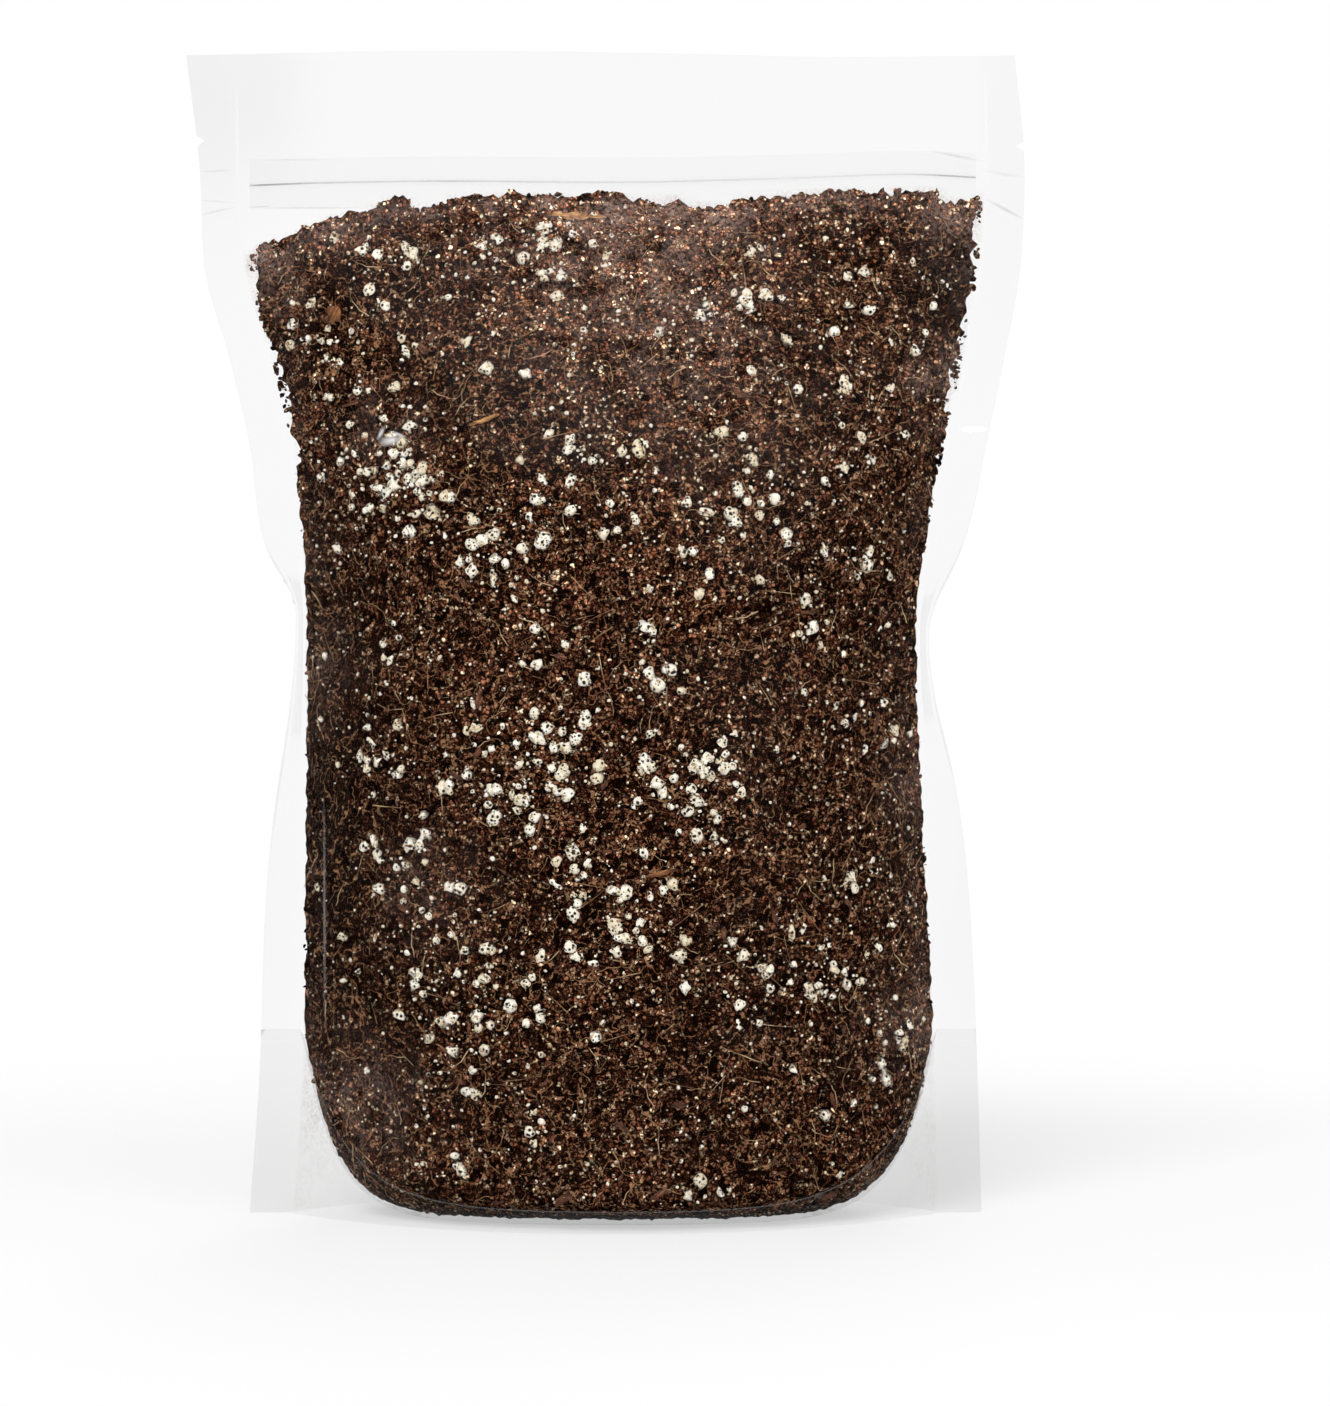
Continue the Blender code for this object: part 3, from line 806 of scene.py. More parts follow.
def thicken(piece, innerMaterials=0):
    solidify = piece.modifiers.new("film", "SOLIDIFY")
    solidify.material_offset = innerMaterials       # dust and painted sheen, painted crease shade and painted glints are on the outer faces alone
    solidify.thickness = pouch["film"]
    solidify.offset = -1.0
    solidify.use_even_offset = False
    return settle(piece)


def makePanel(name, facing, faceFilm, edgeFilm, innerFilm):
    columns, heights = filmColumns(), filmHeights()
    column = np.tile(columns, len(heights))
    height = np.repeat(heights, len(columns))
    points = cutNotches(filmSurface(column, height, facing), column, height)
    dustAndSheen, smoke = dustOver(points), smokeOver(points)
    mesh = meshFrom(name, handled(points), gridFaces(len(heights), len(columns), facing > 0))
    setAttribute(mesh, "dustAndSheen", dustAndSheen)
    setAttribute(mesh, "smoke", smoke)
    piece = addPiece(name, mesh, faceFilm)
    for film in (edgeFilm, innerFilm, innerFilm):
        mesh.materials.append(film)
    height, column = height.reshape(-1, len(columns)), column.reshape(-1, len(columns))
    topRow = pouch["zipHeight"] - filmGrid["headerBelowZip"]
    inSeal = (np.abs(column[:-1, :-1]) >= 1.0) & (np.abs(column[:-1, 1:]) >= 1.0)
    atEdge = (height[:-1, :-1] > topRow) | inSeal
    mesh.polygons.foreach_set("material_index", atEdge.ravel().astype(np.int32))
    return thicken(piece, 2)


gussetGrid = {"skirtRows": 12, "bowlRows": 44, "smoke": 0.34}


def bottomSealHeight(across):
    rise = pouch["gussetRise"] - pouch["baseSeal"]
    return pouch["baseSeal"] + rise * np.minimum(1.0, np.abs(across)) ** pouch["baseSealPower"]


def bowlHeight(across, along):
    seal = bottomSealHeight(across)
    fold = pouch["gussetRise"] * np.minimum(1.0, np.abs(across)) ** pouch["foldPower"]
    edge = np.abs(along) ** 3
    low = np.maximum(0.0, fold + (seal - fold) * edge - pouch["basePress"] * (1.0 - edge))
    return np.where(np.abs(across) >= 1.0, pouch["gussetRise"], low)


def makeGusset(name, material, innerFilm):
    inset = 2 * pouch["film"] + pouch["gap"]
    columns = filmColumns()
    front, back = (
        [filmSurface(columns, share * bottomSealHeight(columns), facing, inset)
         for share in np.linspace(0.0, 1.0, gussetGrid["skirtRows"] + 1)]
        for facing in (-1, 1))
    bowl = []
    for along in np.linspace(-1.0, 1.0, gussetGrid["bowlRows"] + 1)[1:-1]:
        row = front[-1] + (back[-1] - front[-1]) * (along + 1.0) / 2
        row[:, 2] = bowlHeight(columns, along)
        bowl.append(row)
    rows = front + bowl + back[::-1]
    points = np.concatenate(rows)
    mesh = meshFrom(name, handled(points), gridFaces(len(rows), len(columns), True))
    setAttribute(mesh, "smoke", np.full(len(points), gussetGrid["smoke"]))
    piece = addPiece(name, mesh, material)
    mesh.materials.append(innerFilm)
    return thicken(piece, 1)


# Press zip: a groove strip on the front film and a rib strip on the back one
zipStrips = {
    "endClearance": 0.0025,
    "slices": 120,
    "headHeight": 0.0012,
    "headDepth": 0.0005,
    "stem": 0.0004,
    "wall": 0.0004,
    "lip": 0.0003,
    "zipShadeHeights": (-0.00030, -0.00012, 0.00012, 0.00030),
    # How dark the painted shade along the pressed line shows: x, strength
    "line": ((-0.093, 0.10), (-0.088, 0.62), (-0.082, 0.60), (-0.074, 0.34), (-0.050, 0.24), (-0.040, 0.36),
             (-0.030, 0.26), (0.0, 0.22), (0.030, 0.22), (0.046, 0.14), (0.060, 0.18), (0.078, 0.22),
             (0.086, 0.50), (0.093, 0.46), (0.096, 0.10)),
}


def zipOutlines():
    inner = pouch["stripHalfGap"]
    outer = inner + pouch["stripThickness"]
    top = pouch["stripHeight"] / 2
    stem, head = zipStrips["stem"] / 2, zipStrips["headHeight"] / 2
    headFront = -inner + pouch["gap"]
    headBack = headFront + zipStrips["headDepth"]
    rib = [(outer, top), (inner, top), (inner, stem), (headBack, stem),
           (headBack, head), (headFront, head / 2)]
    lipFront = headBack + pouch["gap"]
    lipBack = lipFront + zipStrips["lip"]
    mouth, hollow = stem + pouch["gap"], head + pouch["gap"]
    wall = hollow + zipStrips["wall"]
    groove = [(-outer, top), (-inner, top), (-inner, wall), (lipBack, wall), (lipBack, mouth),
              (lipFront, mouth), (lipFront, hollow), (-inner, hollow)]
    return {"zipGrooveStrip": groove, "zipRibStrip": rib}


def makeZipStrip(name, upper, material):
    face = upper[0][0]
    outline = upper + [(y, -z) for y, z in reversed(upper)] + [(face, z) for z in zipStrips["zipShadeHeights"]]
    # The points added on the strip's face carry the painted shade line
    paintedZipShade = [0.0] * (len(outline) - 4) + [0.0, 1.0, 1.0, 0.0]
    (left,), (right,) = seamsAt(np.array([pouch["zipHeight"]]))
    end = zipStrips["endClearance"]
    places = np.linspace(left + end, right - end, zipStrips["slices"])
    lineX, strength = zip(*zipStrips["line"])
    dark = np.interp(places, lineX, strength) if face < 0.0 else np.zeros(len(places))
    built = bmesh.new()
    rings, marks = [], []
    for x, own in zip(places, dark):
        ring = np.array([(x, y, pouch["zipHeight"] + z) for y, z in outline])
        rings.append([built.verts.new(p) for p in handled(ring)])
        marks += [own * mark for mark in paintedZipShade]
    closeTube(built, rings)
    mesh = meshOf(built, name)
    setAttribute(mesh, "line", marks)
    piece = addPiece(name, mesh, material)
    mesh.set_sharp_from_angle(angle=math.radians(35))
    return piece


# The mass of compost
compostMass = {
    "columns": 196,
    "baseRows": 26,
    "foldRows": 22,
    "sideRows": 176,
    "inset": 0.0008,        # from the film's outer face, as in the solid
    "edgeInset": 0.0007,
    "baseClearance": 0.0012,
    "lumpDepth": 0.0014,    # the solid's own lumps
    "lumpSize": 0.0200,
    "lumpFloor": 0.3,
    "lumpGain": 1.6,
    "heapRadius": 0.0070,
    "crumbHeight": 0.0013,  # finer crumbs that only the render shows
    "crumbSize": 0.0024,
    "thinBelow": 0.0045,
    "leastGap": 0.00035,
    "raggedEdge": (0.0009, 0.0030),     # how far the sides fall short of the seams, low and high up
    "raggedReach": 0.0090,
    "looseAbove": 0.190,
    "looseFade": 0.02,
    "tuftSizes": (0.0048, 0.0017),
    "raggedTop": 0.0026,
    "raggedSizes": (0.0036, 0.0015),
    "topLimit": 0.0015,     # crumbs stay this far below the middle of the zip
    "heapSink": 0.0007,     # the fines lie this much deeper between heaped grains
    # How far below the zip the fill ends, along the pouch: x, drop
    "top": ((-0.094, 0.0230), (-0.089, 0.0165), (-0.083, 0.0140), (-0.076, 0.0112), (-0.068, 0.0086),
            (-0.060, 0.0072), (-0.0565, 0.0050), (-0.052, 0.0038), (-0.048, 0.0066), (-0.043, 0.0060),
            (-0.036, 0.0040), (-0.024, 0.0030), (-0.016, 0.0032), (-0.004, 0.0030), (0.004, 0.0030),
            (0.008, 0.0050), (0.018, 0.0046), (0.026, 0.0072), (0.033, 0.0052), (0.044, 0.0046),
            (0.054, 0.0036), (0.062, 0.0036), (0.068, 0.0050), (0.076, 0.0034), (0.082, 0.0040),
            (0.088, 0.0058), (0.092, 0.0066), (0.0955, 0.0048), (0.098, 0.0060)),
}
weldDistance = 2e-6
# Heaps of perlite pressed against the film, on the front and on the back, with their places as in the
# solid, and below them looser clusters that raise nothing: x, height, spread, strength
perliteHeaps = {
    -1: (
        (-0.068, 0.218, 0.008, 2.2), (-0.054, 0.198, 0.008, 1.6), (-0.054, 0.183, 0.009, 1.9),
        (-0.064, 0.180, 0.006, 1.6), (-0.030, 0.172, 0.009, 1.5), (-0.032, 0.249, 0.008, 1.8),
        (-0.012, 0.246, 0.009, 1.6), (0.029, 0.197, 0.007, 1.2), (0.035, 0.182, 0.006, 1.1),
        (0.021, 0.166, 0.006, 1.2), (0.062, 0.193, 0.008, 1.4), (0.054, 0.155, 0.008, 1.0),
        (-0.022, 0.111, 0.010, 2.8), (-0.008, 0.120, 0.008, 2.8), (0.011, 0.116, 0.007, 2.0),
        (0.028, 0.113, 0.009, 2.5), (0.024, 0.102, 0.007, 2.4), (-0.054, 0.117, 0.008, 1.6),
        (0.067, 0.124, 0.008, 1.6), (-0.002, 0.079, 0.009, 1.6), (0.010, 0.081, 0.007, 1.6),
        (0.039, 0.065, 0.010, 2.0), (0.057, 0.063, 0.008, 2.2), (-0.040, 0.070, 0.011, 1.7),
        (-0.035, 0.052, 0.012, 1.8), (-0.050, 0.091, 0.007, 1.3), (0.074, 0.042, 0.006, 1.8),
        (-0.020, 0.147, 0.008, 1.1), (-0.009, 0.194, 0.008, 1.1), (0.032, 0.235, 0.008, 1.0),
    ),
    1: (
        (-0.048, 0.214, 0.010, 1.8), (0.030, 0.222, 0.012, 1.6), (0.060, 0.190, 0.009, 2.2),
        (-0.010, 0.186, 0.010, 1.5), (-0.062, 0.160, 0.009, 1.8), (0.012, 0.150, 0.011, 2.4),
        (0.055, 0.128, 0.009, 1.6), (-0.032, 0.116, 0.012, 2.8), (0.034, 0.092, 0.010, 2.0),
        (-0.058, 0.078, 0.010, 2.2), (0.004, 0.062, 0.012, 2.4), (0.062, 0.056, 0.009, 1.6),
        (-0.030, 0.240, 0.010, 1.2), (0.066, 0.236, 0.008, 1.2),
    ),
}
looseClusters = {
    -1: (
        (-0.045, 0.190, 0.006, 1.2), (-0.036, 0.127, 0.007, 1.3), (0.005, 0.142, 0.009, 1.1),
        (0.070, 0.241, 0.012, 0.5), (0.066, 0.216, 0.012, 0.7), (0.066, 0.168, 0.010, 0.6),
        (0.070, 0.088, 0.010, 0.6), (0.072, 0.066, 0.009, 0.8), (-0.056, 0.236, 0.012, 0.6),
    ),
    1: (),
}
# Painted light and shade on the compost, paler where light falls and darker at the sides and in hollows: x,
# height, spread, change
shadePlaces = (
    (0.006, 0.248, 0.036, 1.15), (-0.074, 0.150, 0.024, -0.62), (-0.074, 0.100, 0.028, -0.78),
    (-0.070, 0.055, 0.026, -0.60), (0.072, 0.140, 0.024, -0.18), (0.066, 0.240, 0.020, 0.25),
    (0.074, 0.075, 0.022, -0.25), (0.086, 0.240, 0.016, -1.00),
    (-0.082, 0.120, 0.016, -0.25), (0.030, 0.110, 0.020, -0.10), (0.040, 0.062, 0.022, -0.25),
    (0.004, 0.165, 0.040, 0.28), (-0.066, 0.226, 0.018, -0.08),
    (-0.0254, 0.2440, 0.0030, -1.10), (-0.0193, 0.2396, 0.0032, -1.10),
)


def topOfFill(x):
    dropX, drop = zip(*compostMass["top"])
    return pouch["zipHeight"] - smoothThrough(np.clip(x, dropX[0], dropX[-1]), dropX, drop)


def shadeOver(points):
    below = topOfFill(points[:, 0]) - points[:, 2]
    total = compostLook["level"] + softSpots(points, shadePlaces)
    # Painted light along the top of the fill and on the crumbs that stand above it
    total += compostLook["paintedTopLight"] * np.exp(-(np.maximum(below, 0.0) / compostLook["paintedTopDepth"]) ** 2)
    total += compostLook["paintedRimLight"] * blendBetween(below, 0.0010, -0.0010)
    return np.maximum(total, compostLook["darkest"])


def heapPush(points):
    push = np.zeros(len(points))
    for facing, heaps in perliteHeaps.items():
        own = np.zeros(len(points))
        for x, height, _, _ in heaps:
            away = ((points[:, 0] - x) ** 2 + (points[:, 2] - height) ** 2) / compostMass["heapRadius"] ** 2
            own = np.maximum(own, np.exp(-away))
        push = np.where(points[:, 1] * facing > 0.0, own, push)
    return push


# Room kept between the grains and the film, the zip and the gusset, in metres
clearance = {
    "film": 0.00012,
    "zip": 0.0002,
    "zipFade": (0.0035, 0.0004),        # below the strip, where the room narrows to it
    "seam": 0.0005,
    "give": 0.0005,         # a grain that would poke through is flattened into this depth
    "giveShare": 0.4,
    "gusset": 0.0002,
    "aboveFold": 0.004,
}


def filmRoom(x, height, facing):
    # How far a grain may stand out from the middle plane before it meets the film or the zip
    left, right = seamsAt(height)
    centre, halfWidth = (left + right) / 2, (right - left) / 2
    sag = smoothThrough(height, stationHeights, pouch["halfDepth"])
    angle = 2.0 * np.arctan2(np.maximum(sag, leastDepth), halfWidth)
    radius = halfWidth / np.sin(angle)
    lean = np.arcsin(np.clip((x - centre) / radius, -np.sin(angle), np.sin(angle)))
    out = dented(radius * (np.cos(lean) - np.cos(angle)), lean / angle, height, facing)
    room = layerHalf(height) + out - (pouch["film"] + clearance["film"]) / np.cos(lean)
    stripBottom = pouch["zipHeight"] - pouch["stripHeight"] / 2
    between = pouch["stripHalfGap"] - clearance["zip"]
    low, high = clearance["zipFade"]
    share = blendBetween(height, stripBottom - low, stripBottom - high)
    return room + (np.minimum(room, between) - room) * share, lean / angle


def heldInside(points):
    # Presses every point back inside the pouch, and flattens what would poke through against the film
    height = np.clip(points[:, 2], 0.0, pouch["zipHeight"] - compostMass["topLimit"])
    left, right = seamsAt(height)
    x = np.clip(points[:, 0], left + clearance["seam"], right - clearance["seam"])
    facing = np.where(points[:, 1] < 0.0, -1.0, 1.0)
    room, across = filmRoom(x, height, facing)
    give = np.minimum(room * clearance["giveShare"], clearance["give"])
    over = np.maximum(np.abs(points[:, 1]) - room + give, 0.0)
    depth = np.where(over > 0.0, room - give * np.exp(-over / give), np.abs(points[:, 1]))
    share = np.clip(depth / np.maximum(room, leastDepth), 0.0, 1.0)
    base = bowlHeight(across, share) + pouch["film"] + clearance["gusset"]
    atBase = height < pouch["gussetRise"] + clearance["aboveFold"]
    height = np.where(atBase, np.maximum(height, base), height)
    return np.stack([x, facing * depth, height], -1)


def fillHeights(across, share):
    # "share" runs 0 to 1 up the gusset's bowl, 1 to 2 up to its fold and 2 to 3 up to the top
    base = pouch["film"] + compostMass["baseClearance"]
    seal = bottomSealHeight(across) + base
    fold = pouch["gussetRise"] + base
    left, right = seamsAt(np.full_like(across, pouch["zipHeight"]))
    x = (left + right) / 2 + across * (right - left) / 2
    flat = np.stack([x, np.zeros_like(x), np.zeros_like(x)], -1)
    coarse, fine = compostMass["raggedSizes"]
    ragged = 0.6 * noiseAt(flat, coarse, 8.0) + 0.5 * noiseAt(flat, fine, 9.0)
    top = topOfFill(x) + compostMass["raggedTop"] * ragged
    low = seal + (fold - seal) * np.clip(share - 1.0, 0.0, 1.0)
    return low + (top - low) * np.clip(share - 2.0, 0.0, 1.0)


def fillSurface(across, share, facing, inset, edgeInset):
    along = np.clip(share, 0.0, 1.0)
    height = fillHeights(across, share)
    left, right = seamsAt(height)
    sag = layerHalf(height) + smoothThrough(height, stationHeights, pouch["halfDepth"]) - inset
    x, out, _ = arcSurface(across, (right - left) / 2 - edgeInset, sag)
    out = dented(out, across, height, facing) * along
    out = np.where(share >= 3.0, 0.0, out)
    inBowl = share < 1.0
    bowl = bowlHeight(across, along) + pouch["film"] + compostMass["baseClearance"]
    height = np.where(inBowl, np.maximum(bowl, 0.0), height)
    return np.stack([(left + right) / 2 + x, facing * out, height], -1)


def fillGrid(columnCount, baseRows, foldRows, sideRows, inset, edgeInset):
    t = np.linspace(-1.0, 1.0, columnCount + 1)
    columns = 0.6 * np.sin(math.pi / 2 * t) + 0.4 * t
    shares = np.concatenate([
        np.linspace(0.0, 1.0, baseRows + 1)[:-1],
        np.linspace(1.0, 2.0, foldRows + 1)[:-1],
        np.linspace(2.0, 3.0, sideRows + 1),
    ])
    across = np.tile(columns, len(shares))
    share = np.repeat(shares, len(columns))
    points, faces = [], []
    for facing in (-1, 1):
        sheet = fillSurface(across, share, facing, inset, edgeInset)
        faces += gridFaces(len(shares), len(columns), facing > 0, len(points) * len(sheet))
        points.append(sheet)
    return np.concatenate(points), faces


def weld(mesh, distance):
    built = bmesh.new()
    built.from_mesh(mesh)
    bmesh.ops.remove_doubles(built, verts=built.verts, dist=distance)
    bmesh.ops.dissolve_degenerate(built, edges=built.edges, dist=distance)
    built.to_mesh(mesh)
    built.free()


def makeCompostMass(name, material):
    shape = compostMass
    points, faces = fillGrid(shape["columns"], shape["baseRows"], shape["foldRows"], shape["sideRows"],
                             shape["inset"], shape["edgeInset"])
    mesh = meshFrom(name, points, faces)
    weld(mesh, weldDistance)
    places = placesOf(mesh)
    normals = np.empty(places.size)
    mesh.vertex_normals.foreach_get("vector", normals)
    rough = 0.5 + 0.5 * noiseAt(places, shape["lumpSize"])
    lumps = shape["lumpDepth"] * np.clip(rough * shape["lumpGain"] - shape["lumpFloor"], 0.0, 1.0)
    lumps = np.minimum(lumps * (1.0 - heapPush(places)), np.abs(places[:, 1]) * 0.5)
    crumbs = np.array([noise.voronoi(Vector(p) / shape["crumbSize"])[0][0] for p in places])
    fine = noiseAt(places, shape["crumbSize"] * 0.6, 4.0)
    rise = shape["crumbHeight"] * (0.45 - crumbs + 0.35 * fine)
    thin = np.minimum(1.0, np.abs(places[:, 1]) / shape["thinBelow"])
    rise = np.minimum(rise * thin, shape["inset"] + lumps - pouch["film"] - shape["leastGap"])
    # The sides fall short of the seams in tufts, more so high up where the fill is loose
    upright = np.stack([np.sign(places[:, 0]) * 0.05, np.zeros(len(places)), places[:, 2]], -1)
    coarse, small = shape["tuftSizes"]
    short = np.clip(0.5 + 0.8 * noiseAt(upright, coarse, 3.0) + 0.6 * noiseAt(upright, small, 5.0), 0.0, 1.0)
    snug, loose = shape["raggedEdge"]
    above, fade = shape["looseAbove"], shape["looseFade"]
    looseness = blendBetween(places[:, 2], above - fade, above + fade)
    nearSeam = np.clip(1.0 - insideSeams(places) / shape["raggedReach"], 0.0, 1.0)
    short *= (snug + (loose - snug) * looseness) * nearSeam
    sink = shape["heapSink"] * heapPush(places) * thin
    places[:, 1] -= np.sign(places[:, 1]) * (lumps + sink)
    places += normals.reshape(-1, 3) * rise[:, None]
    places[:, 0] -= np.sign(places[:, 0]) * short
    places = heldInside(places)
    setAttribute(mesh, "shade", shadeOver(places))
    mesh.vertices.foreach_set("co", handled(places).ravel())
    mesh.update()
    return addPiece(name, mesh, material)


def roundedGrain(name, subdivisions, stretch, lobe, rough, seed):
    built = bmesh.new()
    bmesh.ops.create_icosphere(built, subdivisions=subdivisions, radius=0.5)
    for vert in built.verts:
        way = vert.co.normalized()
        swell = 1.0 + lobe * noise.noise(way * 1.3 + Vector((seed, 0.0, 0.0)))
        swell += rough * noise.noise(way * 3.1 + Vector((0.0, seed, 0.0)))
        vert.co = Vector((way.x * stretch[0], way.y * stretch[1], way.z * stretch[2])) * 0.5 * swell
    mesh = meshOf(built, name)
    mesh.shade_smooth()
    return bpy.data.objects.new(name, mesh)


def splinter(name, width, thickness, bend, seed):
    # A torn flake: pointed at both ends, with a ragged edge
    built = bmesh.new()
    rings = []
    for x in np.linspace(-0.5, 0.5, 9):
        taper = math.sqrt(max(0.05, 1.0 - (abs(x) / 0.52) ** 2))
        half = width / 2 * taper * (1.0 + 0.8 * noise.noise(Vector((x * 9.0, seed, 0.0))))
        drift = width * 0.35 * noise.noise(Vector((x * 5.0, seed, 7.0)))
        lift = bend * x * x + 0.03 * noise.noise(Vector((x * 4.0, 0.0, seed)))
        thick = thickness / 2 * taper
        corners = ((-1.0, -1.0), (1.0, -0.6), (0.8, 1.0), (-0.9, 0.7))
        rings.append([built.verts.new((x, drift + half * y, lift + thick * z)) for y, z in corners])
    closeTube(built, rings)
    mesh = meshOf(built, name)
    setFibres(mesh)
    return bpy.data.objects.new(name, mesh)


def rootlet(name, bend, curl, thickness, seed):
    # One fine root: a tapering three-sided tube along a wandering line of unit length
    steps = 7
    t = np.linspace(0.0, 1.0, steps)
    heading = bend * (t - 0.5) + curl * np.array([noise.noise(Vector((k * 2.5, seed, 0.0))) for k in t])
    x = np.cumsum(np.cos(heading)) / steps
    y = np.cumsum(np.sin(heading)) / steps
    z = 0.05 * np.array([noise.noise(Vector((k * 3.0, 0.0, seed))) for k in t])
    built = bmesh.new()
    rings = []
    for k in range(steps):
        radius = thickness / 2 * (1.0 - 0.5 * t[k])
        across = Vector((-math.sin(heading[k]), math.cos(heading[k]), 0.0))
        centre = Vector((x[k] - x.mean(), y[k] - y.mean(), z[k]))
        ways = [across * math.cos(turn) + Vector((0, 0, math.sin(turn))) for turn in (0.0, 2.0944, 4.1888)]
        rings.append([built.verts.new(centre + way * radius) for way in ways])
    closeTube(built, rings)
    mesh = meshOf(built, name)
    mesh.shade_smooth()
    setFibres(mesh)
    return bpy.data.objects.new(name, mesh)


# Flakes of wood big enough to be told apart: x, height, length in metres, slope in degrees, shape, paleness
woodFlakes = (
    (-0.0078, 0.2548, 0.0158, -3, "long", 1.0), (-0.0690, 0.2294, 0.0050, 62, "wide", 0.0),
    (-0.0302, 0.2030, 0.0080, 20, "long", 0.7), (0.0140, 0.0905, 0.0080, 12, "long", 0.4),
)
# Width, thickness, bend and seed, for a length of one
flakeShapes = {"long": (0.15, 0.06, 0.06, 2.0), "wide": (0.80, 0.22, -0.30, 6.0)}
flakeDepth = 0.0004         # metres behind the film


def makeFlakes(name, material):
    # Laid flat against the inside of the front film
    shapes = {kind: splinter(kind + "Flake", *form) for kind, form in flakeShapes.items()}
    points, faces, fibres, tones = [], [], [], []
    for k, (x, height, length, slope, kind, paleness) in enumerate(woodFlakes):
        mesh = shapes[kind].data
        own = placesOf(mesh)
        turn = math.radians(slope)
        along = own[:, 0] * math.cos(turn) - own[:, 1] * math.sin(turn)
        up = own[:, 0] * math.sin(turn) + own[:, 1] * math.cos(turn)
        places = np.stack([x + along * length, np.zeros(len(own)), height + up * length], -1)
        room, _ = filmRoom(places[:, 0], places[:, 2], -1.0)
        places[:, 1] = own[:, 2] * length - room + flakeDepth
        start = sum(len(p) for p in points)
        faces += [[start + v for v in face.vertices] for face in mesh.polygons]
        points.append(places)
        fibres.append(own * np.array(woodLook["flakeFibres"]) * length + k * 3.1)
        tones.append(np.full(len(own), paleness))
    mesh = meshFrom(name, handled(heldInside(np.concatenate(points))), faces)
    setAttribute(mesh, "fibres", np.concatenate(fibres), "FLOAT_VECTOR", "vector")
    setAttribute(mesh, "tone", np.concatenate(tones))
    return addPiece(name, mesh, material)


def shapeSet(name, shapes):
    group = bpy.data.collections.new(name)
    for shape in shapes:
        group.objects.link(shape)
    return group


def makeScatterTree():
    tree = bpy.data.node_groups.new("scatterGrains", "GeometryNodeTree")
    sockets = {
        "Surface": "Geometry", "Shapes": "Collection", "Finish": "Material", "Per Square Metre": "Float",
        "Crowding": "String", "Seed": "Int", "Smallest": "Float", "Largest": "Float", "Bias": "Float",
        "Shallow": "Float", "Deep": "Float", "Tilt": "Float"}
    for label, kind in sockets.items():
        tree.interface.new_socket(name=label, in_out="INPUT", socket_type="NodeSocket" + kind)
    tree.interface.new_socket(name="Grains", in_out="OUTPUT", socket_type="NodeSocketGeometry")
    given = addNode(tree, "NodeGroupInput").outputs
    crowd = addNode(tree, "GeometryNodeInputNamedAttribute", {"Name": given["Crowding"]}, data_type="FLOAT")
    density = multiply(tree, crowd.outputs[0], given["Per Square Metre"])
    points = addNode(tree, "GeometryNodeDistributePointsOnFaces", {
        "Mesh": given["Surface"], "Density": density, "Seed": given["Seed"]}).outputs

    def randomFloat(least, most, offset):
        seed = mathNode(tree, "ADD", given["Seed"], float(offset))
        value = addNode(tree, "FunctionNodeRandomValue", {2: least, 3: most, 8: seed}, data_type="FLOAT")
        return value.outputs[1]

    chance = mathNode(tree, "POWER", randomFloat(0.0, 1.0, 1), given["Bias"])
    size = addNode(tree, "ShaderNodeMapRange", {
        "Value": chance, "To Min": given["Smallest"], "To Max": given["Largest"]}).outputs[0]
    back = multiply(tree, size, randomFloat(given["Shallow"], given["Deep"], 2), -1.0)
    moved = addNode(tree, "GeometryNodeSetPosition", {
        "Geometry": points["Points"], "Offset": scaled(tree, points["Normal"], back)}).outputs[0]
    least = multiply(tree, given["Tilt"], -1.0)
    angles = addNode(tree, "ShaderNodeCombineXYZ", {
        0: randomFloat(least, given["Tilt"], 3), 1: randomFloat(least, given["Tilt"], 4),
        2: randomFloat(0.0, 6.2832, 5)}).outputs[0]
    spin = addNode(tree, "FunctionNodeEulerToRotation", {0: angles}).outputs[0]
    turned = addNode(tree, "FunctionNodeRotateRotation", {
        0: points["Rotation"], 1: spin}, rotation_space="LOCAL").outputs[0]
    shapes = addNode(tree, "GeometryNodeCollectionInfo", {
        "Collection": given["Shapes"], "Separate Children": True, "Reset Children": True}).outputs[0]
    placed = addNode(tree, "GeometryNodeInstanceOnPoints", {
        "Points": moved, "Instance": shapes, "Pick Instance": True, "Rotation": turned, "Scale": size})
    toned = addNode(tree, "GeometryNodeStoreNamedAttribute", {
        "Geometry": placed.outputs[0], "Name": "tone", "Value": randomFloat(0.0, 1.0, 6)},
        data_type="FLOAT", domain="INSTANCE")
    real = addNode(tree, "GeometryNodeRealizeInstances", {0: toned.outputs[0]})
    finished = addNode(tree, "GeometryNodeSetMaterial", {
        "Geometry": real.outputs[0], "Material": given["Finish"]})
    addNode(tree, "NodeGroupOutput", {0: finished.outputs[0]})
    return tree


def scatter(name, tree, ground, values):
    piece = bpy.data.objects.new(name, ground.copy())
    bpy.context.scene.collection.objects.link(piece)
    modifier = piece.modifiers.new("grains", "NODES")
    modifier.node_group = tree
    for item in tree.interface.items_tree:
        if item.in_out == "INPUT" and item.name in values:
            modifier[item.identifier] = values[item.name]
    mesh = settle(piece).data
    points = heldInside(placesOf(mesh))
    room, _ = filmRoom(points[:, 0], points[:, 2], np.where(points[:, 1] < 0.0, -1.0, 1.0))
    setAttribute(mesh, "sunk", room - np.abs(points[:, 1]))
    setAttribute(mesh, "shade", shadeOver(points))
    mesh.vertices.foreach_set("co", handled(points).ravel())
    mesh.update()
    return piece


